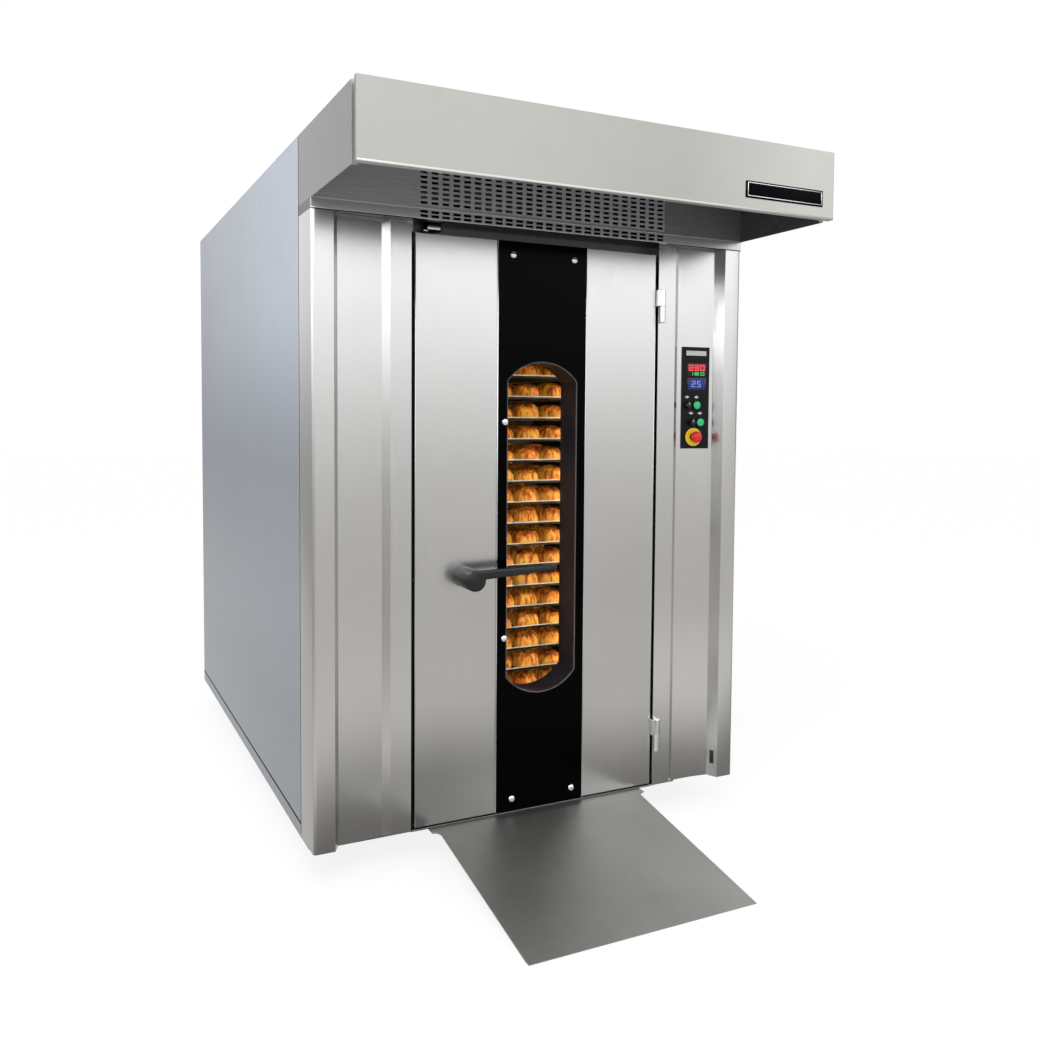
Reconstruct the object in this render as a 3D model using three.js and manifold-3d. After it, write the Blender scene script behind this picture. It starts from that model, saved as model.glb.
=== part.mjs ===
// Rotating rack oven, in millimetres, +Z up, the door facing -Y.
// The origin is the centre of the footprint on the floor.
import * as THREE from 'three';
import { mergeVertices } from 'three/addons/utils/BufferGeometryUtils.js';
import Module from 'manifold-3d';

const wasm = await Module();
wasm.setup();

// ---------------------------------------------------------------- driving sizes
const SEAT = 0.3;                 // gap kept where one piece rests on another
const SHEET = 2;                  // thickness of the folded steel sheets

const BODY_WIDTH = 1734;
const BODY_DEPTH = 2414;          // front of the columns to the rear panel
const BODY_HEIGHT = 2400;         // underside of the columns to the roof
const GROUND_CLEARANCE = 120;     // floor to the underside of the columns

const COLUMN_DEPTH = 169;         // front columns, and the hood's part above them
const COLUMN_CORNER_RADIUS = 12;
const JAMB_X = 505;               // door side of each column
const INNER_STRIP_END_X = 585;
const INNER_STRIP_Y = 42;
const GROOVE_X = 610;
const GROOVE_Y = 62;
const SLOPE_END_X = 770;
const SLOPE_END_Y = 43;
const OUTER_STRIP_X = 792;
const FLANGE = 40;                // width of the folded edges of columns and panels

const HEADER_BOTTOM = 2132;       // slotted strip above the door
const HOOD_BOTTOM = 2165;
const HOOD_OVERHANG = 503;
const HOOD_JOINT = 48;            // front edge to the hood's side panels
const HOOD_FRONT_RETURN = 18;
const HOOD_FRONT_LIP = 25;
const HOOD_NECK_RISE = 7;         // bottom of the shadow gap above the hood's lower edge
const HOOD_GAP_DEPTH = 20;
const HEADER_LEDGE = 66;
const LINTEL_Y = 110;
const LINTEL_BOTTOM = 2097;

const HEADER_SLOT = { width: 27, height: 9, pitch: 40, count: 25, lowRow: 10, highRow: 24 };
const GRILLE_HOLE = { width: 24, height: 9, pitchX: 40, pitchZ: 17, columns: 25, rows: 9 };
const GRILLE_FIRST_ROW = 22;      // hood's lower edge to the middle of the lowest holes
const GRILLE_FRAME = 10;          // outermost holes to the edge of the hood's opening
const GRILLE_LAP = 7;             // grille plate past that opening

const DOOR_HALF_WIDTH = 495;
const DOOR_BOTTOM = 8;
const DOOR_TOP = 2093;
const DOOR_FACE_Y = 47;
const DOOR_RIM = 40;              // thickness of the door's outer part
const DOOR_DEPTH = 120;           // whole thickness with the insulated plug
const PLUG_LEFT = -470;
const PLUG_RIGHT = 480;
const PLUG_BOTTOM = 20;
const PLUG_TOP = 2075;
const FRONT_PANEL_HALF_WIDTH = 180;
const FRONT_PANEL_THICKNESS = 6;
const WINDOW_HALF = 144;
const WINDOW_BOTTOM = 438;
const WINDOW_TOP = 1665;
const WINDOW_END_RADIUS = 181;
const GLASS_THICKNESS = 4;
const GLASS_OVERLAP = 12;
const GASKET = { width: 18, thickness: 5 };

const HINGE = { x: 515, y: 29, radius: 12, height: 125, pin: 5, leaf: 2.5, leafWidth: 15 };
const HINGE_BOTTOMS = [143, 1833];
const HINGE_BORE_GAP = 0.3;

const HANDLE_X = -305;
const HANDLE_Z = 890;
const HANDLE_STANDOFF = 98;       // door face to the middle of the lever
const HANDLE_HUB_RADIUS = 38;
const HANDLE_ROSE_RADIUS = 37;
const HANDLE_ROSE_THICKNESS = 24;
const LEVER = {
  reach: 318, rootRise: 19, rootRidge: 18, tipRise: 30, tipRidge: 4, bevel: 9, thickness: 22,
};
const SPINDLE_RADIUS = 9;
const BOLT = { size: 16, length: 165, travel: 20, clearance: 2 };

const CONTROL = { width: 122, height: 404, thickness: 4, centreZ: 1543, shift: 2 };
const BUTTON = { radius: 15, travel: 3, proud: 4, bezel: 19, bezelHeight: 7 };
const KNOB = { radius: 12, height: 16, bezel: 15, bezelHeight: 4 };
const ESTOP = { head: 23, neck: 11, boss: 16, bossHeight: 12, travel: 6, height: 20 };
const SWITCHES = {
  upper_selector: [-38, -29], lower_selector: [-19, -97],
  upper_button: [3.5, -29], lower_button: [20.5, -97],
};
const ESTOP_AT = [-7, -156];

const CHAMBER_HALF = 620;
const CHAMBER_FRONT = 172.6;
const CHAMBER_REAR = 1340;
const CHAMBER_TOP = LINTEL_BOTTOM;
const MOUTH_HALF = 440;           // the stop round the mouth that the gasket presses on
const MOUTH_TOP = 2030;
const AIR_SLOT = { length: 320, height: 14, pitch: 210, count: 8, bottom: 250 };
const AIR_SLOT_COLUMNS = [480, 980];
const FAN = { z: 1700, inlet: 230, radius: 260, hub: 42, blades: 10, depth: 110, plateY: 1520 };
const FAN_SHAFT_RADIUS = 14;
const FAN_MOTOR = { radius: 110, front: 2060, plate: 300 };
const HEATER = { half: 400, front: 1480, rear: 2000, height: 1250, tube: 9, rows: 6 };
const HEATER_TUBE_SIDES = 8;

const DECK = 6;                   // floor plate under the chamber
const DECK_FRONT = 50;
const SILL_LEDGE = 3;
const SILL_LEDGE_REAR = 120;
const RAIL_HEIGHT = 40;           // upstand of the floor along the sides
const RAIL_GAP = 8;
const BASE_INSET_FRONT = 300;
const BASE_INSET_SIDE = 75;
const BASE_WALL = 5;
const BASE_FLANGE = 50;
const CROSS_MEMBERS = [555, 915, 1600];
const CROSS_MEMBER_DROP = 24;

const TURN_Y = 740;               // turntable axis behind the facade
const TURNTABLE_RADIUS = 470;
const TURNTABLE_GAP = 5;
const TURNTABLE_THICKNESS = 8;
const TURNTABLE_PROUD = 1;
const TURN_SHAFT_RADIUS = 25;
const TURN_SHAFT_LENGTH = 50;
const TURN_HUB = { radius: 60, height: 20 };
const GEARBOX = { half: 130, height: 84, motorRadius: 42, motorLength: 240 };

const RACK = { halfWidth: 330, halfLength: 410, tube: 25, top: 1770, bottom: 150 };
const TRAY = { width: 592, length: 792, height: 12, sheet: 1.5 };
const TRAY_COUNT = 16;
const TRAY_PITCH = 84.2;
const TOP_TRAY_DROP = 146;        // rack's top to the middle of the highest tray's rim
const RUNNER = { width: 23, thickness: 3 };
const SPARE_RUNNERS = 1;          // empty levels above and below the trays
const CASTER = { x: 272, y: 350, radius: 60, width: 30, plate: 8, cheek: 4, trail: 30 };
const CASTER_AXLE_RADIUS = 6;
const KINGPIN_RADIUS = 8;

const RAMP = { reach: 700, half: 417, flare: 26, thickness: 4, lipY: 45, foot: 22 };

const ROUND = 40;                 // facets of a large circle
const SMALL_ROUND = 20;

// ---------------------------------------------------------------- sizes that follow
const HALF = BODY_WIDTH / 2;
const DOOR_REAR = DOOR_FACE_Y + DOOR_DEPTH;
const RIM_REAR = DOOR_FACE_Y + DOOR_RIM;
const FLOOR = -GROUND_CLEARANCE;
const BASE_TOP = -DECK - SEAT;
const CENTRE_Y = (BODY_DEPTH - RAMP.reach) / 2;
const LEVER_Y = DOOR_FACE_Y - HANDLE_STANDOFF;
const BOLT_Y = DOOR_FACE_Y + DOOR_RIM / 2;
const FIRST_TRAY_Z = RACK.top - TOP_TRAY_DROP - (TRAY_COUNT - 1) * TRAY_PITCH;

// ---------------------------------------------------------------- geometry helpers
function toSolid(geometry) {
  const plain = geometry.clone();
  plain.deleteAttribute('normal');
  plain.deleteAttribute('uv');
  const merged = mergeVertices(plain);
  return new wasm.Manifold(new wasm.Mesh({
    numProp: 3,
    vertProperties: new Float32Array(merged.attributes.position.array),
    triVerts: new Uint32Array(merged.index.array),
  }));
}

function toGeometry(solid) {
  const mesh = solid.getMesh();
  const geometry = new THREE.BufferGeometry();
  geometry.setAttribute('position', new THREE.BufferAttribute(mesh.vertProperties, 3));
  geometry.setIndex(new THREE.BufferAttribute(mesh.triVerts, 1));
  geometry.computeVertexNormals();
  return geometry;
}

const join = (...solids) => solids.flat().reduce((whole, piece) => whole.add(piece));
const cut = (solid, ...tools) => tools.flat().reduce((rest, tool) => rest.subtract(tool), solid);

// A box between two limits on each axis.
function box(x0, x1, y0, y1, z0, z1) {
  const geometry = new THREE.BoxGeometry(2, 2, 2);
  const corner = geometry.attributes.position;
  for (let i = 0; i < corner.count; i += 1) {
    corner.setX(i, corner.getX(i) < 0 ? x0 : x1);
    corner.setY(i, corner.getY(i) < 0 ? y0 : y1);
    corner.setZ(i, corner.getZ(i) < 0 ? z0 : z1);
  }
  return toSolid(geometry);
}

// A box and its mirror image across the middle plane of the oven.
const boxPair = (x0, x1, ...rest) => [box(x0, x1, ...rest), box(-x1, -x0, ...rest)];

// A flat shape drawn out along an axis. Its two directions are Y and Z along X, X and Z along Y,
// and X and Y along Z.
function prism(axis, shape, from, to) {
  const geometry = new THREE.ExtrudeGeometry(shape, {
    depth: 1, bevelEnabled: false, curveSegments: SMALL_ROUND,
  });
  const corner = geometry.attributes.position;
  for (let i = 0; i < corner.count; i += 1) {
    const [u, v, far] = [corner.getX(i), corner.getY(i), corner.getZ(i) > 0.5];
    if (axis === 'x') corner.setXYZ(i, far ? to : from, u, v);
    if (axis === 'y') corner.setXYZ(i, u, far ? from : to, v);
    if (axis === 'z') corner.setXYZ(i, u, v, far ? to : from);
  }
  return toSolid(geometry);
}

// A round bar along an axis; the centre is given in the two other directions.
function rod(axis, radius, from, to, [u, v] = [0, 0], sides = SMALL_ROUND) {
  const shape = new THREE.Shape(Array.from({ length: sides }, (_, i) => {
    const angle = (2 * Math.PI * (i + 0.5)) / sides;
    return new THREE.Vector2(u + radius * Math.cos(angle), v + radius * Math.sin(angle));
  }));
  return prism(axis, shape, from, to);
}

// A profile of [radius, height] points turned about the line x = y = 0.
function turned(profile, sides = SMALL_ROUND) {
  const points = profile.map(([radius, height]) => new THREE.Vector2(radius, height));
  const geometry = new THREE.LatheGeometry([...points, points[0].clone()], sides);
  return toSolid(geometry.rotateX(Math.PI / 2));
}

// The cross-section of a folded sheet whose outer face follows a path, with the metal on its left.
function foldedSheet(path, thickness = SHEET) {
  const points = path.map(([x, y]) => new THREE.Vector2(x, y));
  const leftOf = (a, b) => new THREE.Vector2(a.y - b.y, b.x - a.x).normalize();
  const inner = points.map((point, i) => {
    const before = i > 0 ? leftOf(points[i - 1], point) : leftOf(point, points[i + 1]);
    const after = i < points.length - 1 ? leftOf(point, points[i + 1]) : before;
    const mitre = before.clone().add(after).multiplyScalar(thickness / (1 + before.dot(after)));
    return point.clone().add(mitre);
  });
  return new THREE.Shape([...points, ...inner.reverse()]);
}

// The window: straight sides and shallow arcs for its ends, grown by a margin all round.
function windowShape(margin = 0) {
  const half = WINDOW_HALF + margin;
  const radius = WINDOW_END_RADIUS + margin;
  const low = WINDOW_BOTTOM - margin + radius;
  const high = WINDOW_TOP + margin - radius;
  const swing = Math.acos(half / radius);
  const shape = new THREE.Shape();
  shape.absarc(0, low, radius, Math.PI + swing, 2 * Math.PI - swing, false);
  shape.absarc(0, high, radius, swing, Math.PI - swing, false);
  return shape;
}

// ---------------------------------------------------------------- materials
const finish = (color, metalness, roughness) => (
  new THREE.MeshStandardMaterial({ color, metalness, roughness })
);
const STEEL = finish(0xb4b4b2, 1, 0.35);
const DARK_STEEL = finish(0x5c5d60, 1, 0.5);
const LINER_STEEL = finish(0x8d8a86, 1, 0.45);
const BLACK_PANEL = finish(0x0a0a0b, 0, 0.1);
const REVEAL = finish(0x2d2e32, 0.2, 0.6);
const GLASS = new THREE.MeshStandardMaterial({
  color: 0xdfe6e4, roughness: 0.05, transparent: true, opacity: 0.3,
});
const RUBBER = finish(0x1b1b1c, 0, 0.8);
const CHROME = finish(0xd8dade, 1, 0.12);
const BLACK_PLASTIC = finish(0x161618, 0, 0.4);
const GREEN_PLASTIC = finish(0x22a873, 0, 0.35);
const RED_PLASTIC = finish(0xd11a22, 0, 0.35);
const ALUMINIUM = finish(0xc9cacc, 1, 0.4);
const MOTOR_GREY = finish(0x4b5560, 0.3, 0.5);

function mesh(name, solid, material) {
  const node = new THREE.Mesh(toGeometry(solid), material);
  node.name = name;
  return node;
}

// ---------------------------------------------------------------- base and floor
function baseFrame() {
  const x = HALF - BASE_INSET_SIDE;
  const y0 = BASE_INSET_FRONT;
  const y1 = BODY_DEPTH - BASE_INSET_SIDE;
  const web = BASE_WALL;
  const ring = cut(
    box(-x, x, y0, y1, FLOOR, BASE_TOP),
    box(-x + web, x - web, y0 + web, y1 - web, FLOOR + web, BASE_TOP - web),
    box(-x + BASE_FLANGE, x - BASE_FLANGE, y0 + BASE_FLANGE, y1 - BASE_FLANGE, FLOOR - 1, BASE_TOP + 1),
  );
  const bars = CROSS_MEMBERS.map((y) => (
    box(-x + 1, x - 1, y, y + web * 2, FLOOR + web, BASE_TOP - CROSS_MEMBER_DROP)
  ));
  const turning = rod('z', TURNTABLE_RADIUS + TURNTABLE_GAP, -30, 1, [0, TURN_Y], ROUND);
  return join(cut(ring, turning), bars);
}

function chamberFloor() {
  const plate = box(-HALF + 1, HALF - 1, DECK_FRONT, BODY_DEPTH - 1, -DECK, 0);
  const frontCorners = boxPair(JAMB_X, HALF, DECK_FRONT - 1, HEADER_LEDGE, -DECK - 1, 1);
  const rails = boxPair(HALF - SHEET, HALF, COLUMN_DEPTH + SEAT, BODY_DEPTH, -DECK, RAIL_HEIGHT);
  const ledge = box(-RAMP.half, RAMP.half, DECK_FRONT - RAMP.lipY + 1, SILL_LEDGE_REAR,
    -DECK - SILL_LEDGE, -DECK);
  const ledgeRoot = box(-RAMP.half, RAMP.half, DECK_FRONT, SILL_LEDGE_REAR, -DECK - 1, -DECK / 2);
  const hole = rod('z', TURNTABLE_RADIUS + TURNTABLE_GAP, -DECK - 1, 1, [0, TURN_Y], ROUND * 2);
  return cut(join(cut(plate, frontCorners), rails, ledge, ledgeRoot), hole);
}

// ---------------------------------------------------------------- outer casing
function sidePanel(side) {
  const y0 = COLUMN_DEPTH + SEAT;
  const y1 = BODY_DEPTH - SHEET - SEAT;
  const top = BODY_HEIGHT - SHEET - SEAT;
  const shelf = RAIL_HEIGHT + RAIL_GAP;
  const behindRail = HALF - SHEET * 2;
  const edge = HALF - FLANGE;
  const skin = prism('y', foldedSheet([
    [behindRail, SEAT], [behindRail, shelf], [HALF, shelf], [HALF, top], [edge, top],
  ]), y0, y1);
  const panel = join(
    skin,
    box(edge, HALF - 1, y0, y0 + SHEET, shelf + 1, top - 1),
    box(edge, HALF - 1, y1 - SHEET, y1, shelf + 1, top - 1),
  );
  return side > 0 ? panel : panel.mirror([1, 0, 0]);
}

function rearPanel() {
  const top = BODY_HEIGHT - SHEET - SEAT;
  const inside = HALF - FLANGE - SEAT;
  const low = RAIL_HEIGHT + RAIL_GAP;
  const plate = box(-HALF + SHEET + SEAT, HALF - SHEET - SEAT, BODY_DEPTH - SHEET, BODY_DEPTH, SEAT, top);
  const edges = boxPair(inside - SHEET, inside, BODY_DEPTH - FLANGE, BODY_DEPTH, low, top - FLANGE);
  return join(plate, edges);
}

function roofPanel() {
  const y0 = COLUMN_DEPTH + SEAT;
  const ribTop = BODY_HEIGHT - SHEET;
  const plate = box(-HALF, HALF, y0, BODY_DEPTH, ribTop, BODY_HEIGHT);
  const reach = HALF - FLANGE - SHEET * 2;
  const ribs = [0.25, 0.5, 0.75].map((share) => {
    const y = y0 + share * (BODY_DEPTH - y0);
    return box(-reach, reach, y, y + SHEET * 2, ribTop - FLANGE, ribTop + 1);
  });
  return join(plate, ribs);
}

function frontColumn(side) {
  const corner = COLUMN_CORNER_RADIUS;
  const arc = [0, 1, 2, 3, 4].map((i) => {
    const angle = -Math.PI / 2 + (i * Math.PI) / 8;
    return [HALF - corner + corner * Math.cos(angle), corner + corner * Math.sin(angle)];
  });
  const path = [
    [JAMB_X, CHAMBER_FRONT + 1], [JAMB_X, INNER_STRIP_Y], [INNER_STRIP_END_X, INNER_STRIP_Y],
    [GROOVE_X, GROOVE_Y], [SLOPE_END_X, SLOPE_END_Y], [OUTER_STRIP_X, 0], ...arc,
    [HALF, COLUMN_DEPTH], [HALF - FLANGE, COLUMN_DEPTH],
  ];
  const column = join(
    prism('z', foldedSheet(path), SEAT, HEADER_BOTTOM - SEAT),
    box(
      MOUTH_HALF, CHAMBER_HALF + SHEET, CHAMBER_FRONT, CHAMBER_FRONT + SHEET,
      SEAT, HEADER_BOTTOM - SEAT,
    ),
  );
  if (side > 0) return join(column, HINGE_BOTTOMS.map(hingeBracket));
  const room = BOLT.size / 2 + BOLT.clearance;
  return cut(join(column.mirror([1, 0, 0]), latchKeeper()), box(
    -JAMB_X - BOLT.travel - 6, -JAMB_X + 1,
    BOLT_Y - room, BOLT_Y + room, HANDLE_Z - room, HANDLE_Z + room,
  ));
}

function doorHeader() {
  const top = HOOD_BOTTOM - SEAT;
  const inner = JAMB_X - SEAT;
  const back = CHAMBER_FRONT - SEAT;
  const stopX = MOUTH_HALF - SEAT;
  const stopRear = CHAMBER_FRONT + SHEET;
  const { width, height, pitch, count, lowRow, highRow } = HEADER_SLOT;
  const rows = [HEADER_BOTTOM + lowRow, HEADER_BOTTOM + highRow];
  const slots = rows.flatMap((z) => Array.from({ length: count }, (_, i) => {
    const x = (i - (count - 1) / 2) * pitch;
    return box(x - width / 2, x + width / 2, -1, SHEET + 1, z - height / 2, z + height / 2);
  }));
  return join(
    cut(box(-HALF, HALF, 0, SHEET, HEADER_BOTTOM, top), slots),
    box(-HALF, HALF, 0, HEADER_LEDGE, HEADER_BOTTOM, HEADER_BOTTOM + SHEET),
    box(-HALF, HALF, 0, HEADER_LEDGE, top - SHEET, top),
    boxPair(HALF - SHEET, HALF, 0, COLUMN_DEPTH, HEADER_BOTTOM, top),
    box(-inner, inner, 0, LINTEL_Y + SHEET, HEADER_BOTTOM, HEADER_BOTTOM + SHEET),
    box(-inner, inner, LINTEL_Y, LINTEL_Y + SHEET, LINTEL_BOTTOM, HEADER_BOTTOM + SHEET),
    box(-inner, inner, LINTEL_Y, back, LINTEL_BOTTOM, LINTEL_BOTTOM + SHEET),
    box(-inner, inner, back - SHEET, back, LINTEL_BOTTOM, HEADER_BOTTOM + SHEET),
    box(-stopX, stopX, back - 1, stopRear, LINTEL_BOTTOM, LINTEL_BOTTOM + SHEET),
    box(-stopX, stopX, CHAMBER_FRONT, stopRear, MOUTH_TOP, LINTEL_BOTTOM + SHEET),
  );
}

// ---------------------------------------------------------------- hood
const GRILLE_SPAN = (GRILLE_HOLE.columns - 1) * GRILLE_HOLE.pitchX + GRILLE_HOLE.width;
const GRILLE_HALF_X = GRILLE_SPAN / 2 + GRILLE_FRAME;
const GRILLE_LOW_HOLE = HOOD_BOTTOM + GRILLE_FIRST_ROW - GRILLE_HOLE.height / 2;
const GRILLE_TOP_HOLE = GRILLE_LOW_HOLE + (GRILLE_HOLE.rows - 1) * GRILLE_HOLE.pitchZ + GRILLE_HOLE.height;

function hoodShell() {
  const front = -HOOD_OVERHANG;
  const sidesFrom = front + HOOD_JOINT;
  const top = BODY_HEIGHT;
  const low = HOOD_BOTTOM;
  const neckLow = low + HOOD_NECK_RISE;
  const returnTo = front + HOOD_FRONT_RETURN;
  const innerX = HALF - HOOD_GAP_DEPTH;
  const innerTop = top - HOOD_GAP_DEPTH;
  const tubeRear = sidesFrom + SHEET;
  const frontTray = join(
    box(-HALF, HALF, front, front + SHEET, low, top),
    boxPair(HALF - SHEET, HALF, front, returnTo, low, top),
    box(-HALF, HALF, front, returnTo, top - SHEET, top),
    box(-HALF, HALF, front, front + HOOD_FRONT_LIP, low, low + SHEET),
  );
  const neck = cut(
    box(-innerX, innerX, front + 1, tubeRear, neckLow, innerTop),
    box(-innerX + SHEET, innerX - SHEET, front, tubeRear + 1, neckLow - 1, innerTop - SHEET),
  );
  const lips = cut(
    box(-HALF, HALF, sidesFrom, tubeRear, low, top),
    box(-innerX + 1, innerX - 1, sidesFrom - 1, tubeRear + 1, low - 1, innerTop - 1),
  );
  const panels = join(
    boxPair(HALF - SHEET, HALF, sidesFrom, COLUMN_DEPTH, low, top),
    box(-HALF, HALF, sidesFrom, COLUMN_DEPTH, top - SHEET, top),
  );
  const rearWall = cut(
    box(-HALF + 1, HALF - 1, 0, SHEET, low, top - 1),
    box(
      -GRILLE_HALF_X, GRILLE_HALF_X, -1, SHEET + 1,
      GRILLE_LOW_HOLE - GRILLE_FRAME, GRILLE_TOP_HOLE + GRILLE_FRAME,
    ),
  );
  return join(frontTray, neck, lips, panels, rearWall);
}

// The grille stands behind its opening in the hood's rear wall, right above the slotted strip.
function hoodGrille() {
  const x = GRILLE_HALF_X + GRILLE_LAP;
  const y = SHEET + SEAT;
  const { width, height, pitchX, pitchZ, columns, rows } = GRILLE_HOLE;
  const holes = [];
  for (let row = 0; row < rows; row += 1) {
    const z = GRILLE_LOW_HOLE + row * pitchZ;
    for (let column = 0; column < columns; column += 1) {
      const x0 = (column - (columns - 1) / 2) * pitchX - width / 2;
      holes.push(box(x0, x0 + width, y - 1, y + SHEET + 1, z, z + height));
    }
  }
  const low = GRILLE_LOW_HOLE - GRILLE_FRAME - GRILLE_LAP;
  const high = GRILLE_TOP_HOLE + GRILLE_FRAME + GRILLE_LAP;
  return cut(box(-x, x, y, y + SHEET, low, high), holes);
}

// ---------------------------------------------------------------- baking chamber
// The columns and the lintel close its front round the mouth.
const LINER_WALL_FRONT = CHAMBER_FRONT + SHEET + SEAT;

function linerWall(side) {
  const wall = box(
    CHAMBER_HALF, CHAMBER_HALF + SHEET, LINER_WALL_FRONT, CHAMBER_REAR - SEAT, SEAT, CHAMBER_TOP - SEAT,
  );
  const slots = [];
  for (let i = 0; i < AIR_SLOT.count; i += 1) {
    const z = AIR_SLOT.bottom + i * AIR_SLOT.pitch;
    AIR_SLOT_COLUMNS.forEach((y) => slots.push(box(
      CHAMBER_HALF - 1, CHAMBER_HALF + SHEET + 1,
      y - AIR_SLOT.length / 2, y + AIR_SLOT.length / 2, z, z + AIR_SLOT.height,
    )));
  }
  const right = cut(wall, slots);
  return side > 0 ? right : right.mirror([1, 0, 0]);
}

function linerRear() {
  const x = CHAMBER_HALF + SHEET;
  const rear = CHAMBER_REAR + SHEET;
  return cut(
    box(-x, x, CHAMBER_REAR, rear, SEAT, CHAMBER_TOP - SEAT),
    rod('y', FAN.inlet, CHAMBER_REAR - 1, rear + 1, [0, FAN.z], ROUND),
  );
}

function linerRoof() {
  const x = CHAMBER_HALF + SHEET;
  return box(-x, x, LINER_WALL_FRONT, CHAMBER_REAR + SHEET, CHAMBER_TOP, CHAMBER_TOP + SHEET);
}

function heaterBank() {
  const { half, front, rear, height, tube, rows } = HEATER;
  const ends = boxPair(half, half + SHEET * 2, front, rear, SEAT, height);
  const ties = [SEAT, height - 30].flatMap((z) => [front, rear - 30].map((y) => (
    box(-half - 1, half + 1, y, y + 30, z, z + 30)
  )));
  const tubes = [];
  for (let row = 1; row <= rows; row += 1) {
    const z = (row * height) / (rows + 1);
    [0.3, 0.7].forEach((share) => tubes.push(
      rod('x', tube, -half - 1, half + 1, [front + share * (rear - front), z], HEATER_TUBE_SIDES),
    ));
  }
  return join(ends, ties, tubes);
}

function fanImpeller() {
  const { z, radius, hub, blades, depth, plateY } = FAN;
  const plate = rod('y', radius, plateY - 3, plateY, [0, z], ROUND);
  const hubSolid = rod('y', hub, plateY - 40, plateY + 30, [0, z]);
  const shaft = rod('y', FAN_SHAFT_RADIUS, plateY, FAN_MOTOR.front + 50, [0, z]);
  const vanes = Array.from({ length: blades }, (_, i) => (
    box(radius * 0.45, radius - 6, plateY - depth, plateY - 1, -1.5, 1.5)
      .rotate([0, (360 * i) / blades, 0])
      .translate([0, 0, z])
  ));
  return join(plate, hubSolid, shaft, vanes);
}

function fanMotor() {
  const { radius, front, plate } = FAN_MOTOR;
  const rear = BODY_DEPTH - SHEET - SEAT;
  const body = rod('y', radius, front, rear - 5, [0, FAN.z], ROUND);
  const flange = box(-plate / 2, plate / 2, rear - 12, rear, FAN.z - plate / 2, FAN.z + plate / 2);
  const bore = rod('y', FAN_SHAFT_RADIUS + SEAT, front - 1, front + 50 + SEAT, [0, FAN.z]);
  return cut(join(body, flange), bore);
}

// ---------------------------------------------------------------- door
const BOLT_GUIDE_X = -DOOR_HALF_WIDTH + 110;

function doorShell() {
  const x = DOOR_HALF_WIDTH;
  const y = DOOR_FACE_Y;
  const lipY = RIM_REAR - SHEET;
  const pan = cut(
    box(-x, x, y, RIM_REAR, DOOR_BOTTOM, DOOR_TOP),
    box(-x + SHEET, x - SHEET, y + SHEET, lipY, DOOR_BOTTOM + SHEET, DOOR_TOP - SHEET),
    box(PLUG_LEFT, PLUG_RIGHT, lipY - 1, RIM_REAR + 1, PLUG_BOTTOM, PLUG_TOP),
    prism('y', windowShape(GLASS_OVERLAP / 2), y - 1, y + SHEET + 1),
    rod('y', SPINDLE_RADIUS + SEAT, y - 1, y + SHEET + 1, [HANDLE_X, HANDLE_Z]),
  );
  const room = BOLT.size / 2 + SEAT;
  const guide = box(BOLT_GUIDE_X, BOLT_GUIDE_X + 6, y + 1, RIM_REAR - 8, HANDLE_Z - 25, HANDLE_Z + 25);
  const tunnel = box(
    -x - 1, BOLT_GUIDE_X + 7, BOLT_Y - room, BOLT_Y + room, HANDLE_Z - room, HANDLE_Z + room,
  );
  return cut(join(pan, guide), tunnel);
}

function doorFrontPanel() {
  const back = DOOR_FACE_Y - SEAT;
  const front = back - FRONT_PANEL_THICKNESS;
  const sheet = box(-FRONT_PANEL_HALF_WIDTH, FRONT_PANEL_HALF_WIDTH, front, back, DOOR_BOTTOM, DOOR_TOP);
  return cut(sheet, prism('y', windowShape(), front - 1, back + 1));
}

function doorInnerPanel() {
  const front = RIM_REAR + SEAT;
  const inner = DOOR_REAR - SHEET;
  const clear = SEAT * 2;
  const [left, right] = [PLUG_LEFT + clear, PLUG_RIGHT - clear];
  const [low, high] = [PLUG_BOTTOM + clear, PLUG_TOP - clear];
  const plug = cut(
    box(left, right, front, DOOR_REAR, low, high),
    box(left + SHEET, right - SHEET, front - 1, inner, low + SHEET, high - SHEET),
  );
  const lip = 12;
  const flange = cut(
    box(left - lip, right + lip, front, front + SHEET, low - 4, high + lip),
    box(left + SHEET, right - SHEET, front - 1, front + SHEET + 1, low + SHEET, high - SHEET),
  );
  const reveal = prism('y', windowShape(SHEET), DOOR_FACE_Y + SHEET + SEAT, DOOR_REAR);
  const opening = prism('y', windowShape(), DOOR_FACE_Y, DOOR_REAR + 1);
  return cut(join(plug, flange, reveal), opening);
}

function windowGlass() {
  const front = DOOR_REAR + SEAT;
  return prism('y', windowShape(GLASS_OVERLAP), front, front + GLASS_THICKNESS);
}

function doorGasket() {
  const inner = MOUTH_HALF + 5;
  const outer = inner + GASKET.width;
  const low = PLUG_BOTTOM + 6;
  const high = MOUTH_TOP + 5;
  const y0 = DOOR_REAR + SEAT;
  const y1 = y0 + GASKET.thickness;
  return cut(
    box(-outer, outer, y0, y1, low, high + GASKET.width),
    box(-inner, inner, y0 - 1, y1 + 1, low + GASKET.width, high),
  );
}

// ---------------------------------------------------------------- hinges
function hingeBracket(bottom) {
  const { x, y, radius, height, pin, leaf, leafWidth } = HINGE;
  const half = height / 2 - SEAT;
  const front = INNER_STRIP_Y - leaf;
  const rear = INNER_STRIP_Y + 1;
  return join(
    rod('z', radius, bottom, bottom + half, [x, y]),
    rod('z', pin, bottom + 1, bottom + height - 12, [x, y]),
    box(x, x + leafWidth, front, rear, bottom, bottom + half),
    box(x, x + leafWidth, front, rear, bottom, bottom + height).subtract(
      box(x - 1, x + radius + 1, front - 1, rear + 1, bottom + half, bottom + height + 1),
    ),
  );
}

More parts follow.
